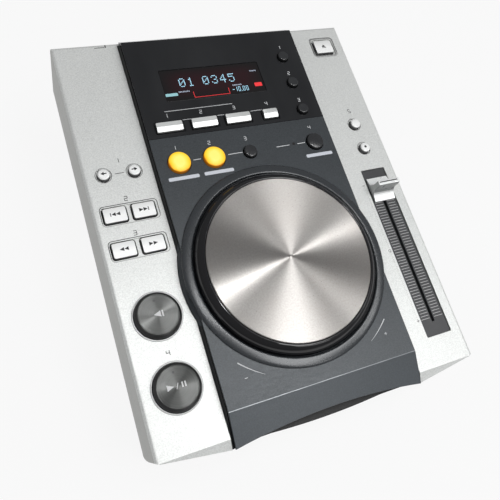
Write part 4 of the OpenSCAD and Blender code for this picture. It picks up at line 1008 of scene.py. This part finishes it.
def area_lamp(name, heading, distance, size, power, turn=0.0):
    """An area lamp that faces the jog wheel; its long side runs at turn, in degrees, from X."""
    data = bpy.data.lights.new(name, "AREA")
    data.shape = "RECTANGLE"
    data.size, data.size_y = size
    data.energy = power
    lamp = bpy.data.objects.new(name, data)
    aim = on_deck(*JOG)
    away = Vector(heading).normalized()
    along = Vector((math.cos(math.radians(turn)), math.sin(math.radians(turn)), 0))
    along = (along - along.dot(away) * away).normalized()
    axes = Matrix((along, away.cross(along), away)).transposed()
    lamp.matrix_world = Matrix.Translation(aim + away * distance) @ axes.to_4x4()
    bpy.context.scene.collection.objects.link(lamp)


def studio():
    """A grey room with four lamps, so that metal shows light and dark; the camera sees white."""
    world = bpy.data.worlds.new("studio")
    bpy.context.scene.world = world
    world.use_nodes = True
    nodes, link = world.node_tree.nodes, world.node_tree.links.new
    split = nodes.new("ShaderNodeSeparateXYZ")
    link(nodes.new("ShaderNodeTexCoord").outputs["Generated"], split.inputs[0])
    ramp = nodes.new("ShaderNodeValToRGB")
    link(split.outputs["Z"], ramp.inputs["Fac"])
    line = ramp.color_ramp.elements
    line[0].position, line[0].color = 0.0, (0.24, 0.24, 0.24, 1)
    line[1].position, line[1].color = 0.4, (0.34, 0.34, 0.345, 1)
    shown = nodes.new("ShaderNodeMix")
    shown.data_type = "RGBA"
    shown.inputs[7].default_value = (0.95, 0.95, 0.95, 1)
    link(nodes.new("ShaderNodeLightPath").outputs["Is Camera Ray"], shown.inputs[0])
    link(ramp.outputs[0], shown.inputs[6])
    link(shown.outputs[2], nodes["Background"].inputs["Color"])
    area_lamp("key", (0.28, -0.33, 0.90), 1.3, (1.0, 0.42), 7.4, 77)
    area_lamp("tube", (-0.05, 0.0, 1.0), 1.4, (0.8, 0.045), 4.1, 13.5)
    area_lamp("side", (0.66, -0.23, 0.71), 1.4, (0.5, 0.25), 1.9, 125)
    area_lamp("front", (0.30, -0.74, 0.58), 1.5, (0.6, 0.3), 1.6)


def camera():
    """The photograph's viewpoint, found from the edges and circles of the real object."""
    data = bpy.data.cameras.new("camera")
    data.sensor_width, data.lens = 36.0, 38.616
    made = bpy.data.objects.new("camera", data)
    made.location = Vector((-133.82, -149.68, 374.81)) * MM
    made.rotation_euler = Euler([math.radians(a) for a in (26.693, -12.949, -19.725)], "XYZ")
    bpy.context.scene.collection.objects.link(made)
    bpy.context.scene.camera = made


camera()
studio()
stage_floor()
finish_nodes()
draw_painted_gap_shadows()
wing_marks()
key_marks()
cap_marks()
deck_marks()
display_marks()
fader_marks()

bpy.context.scene.view_settings.view_transform = "Standard"
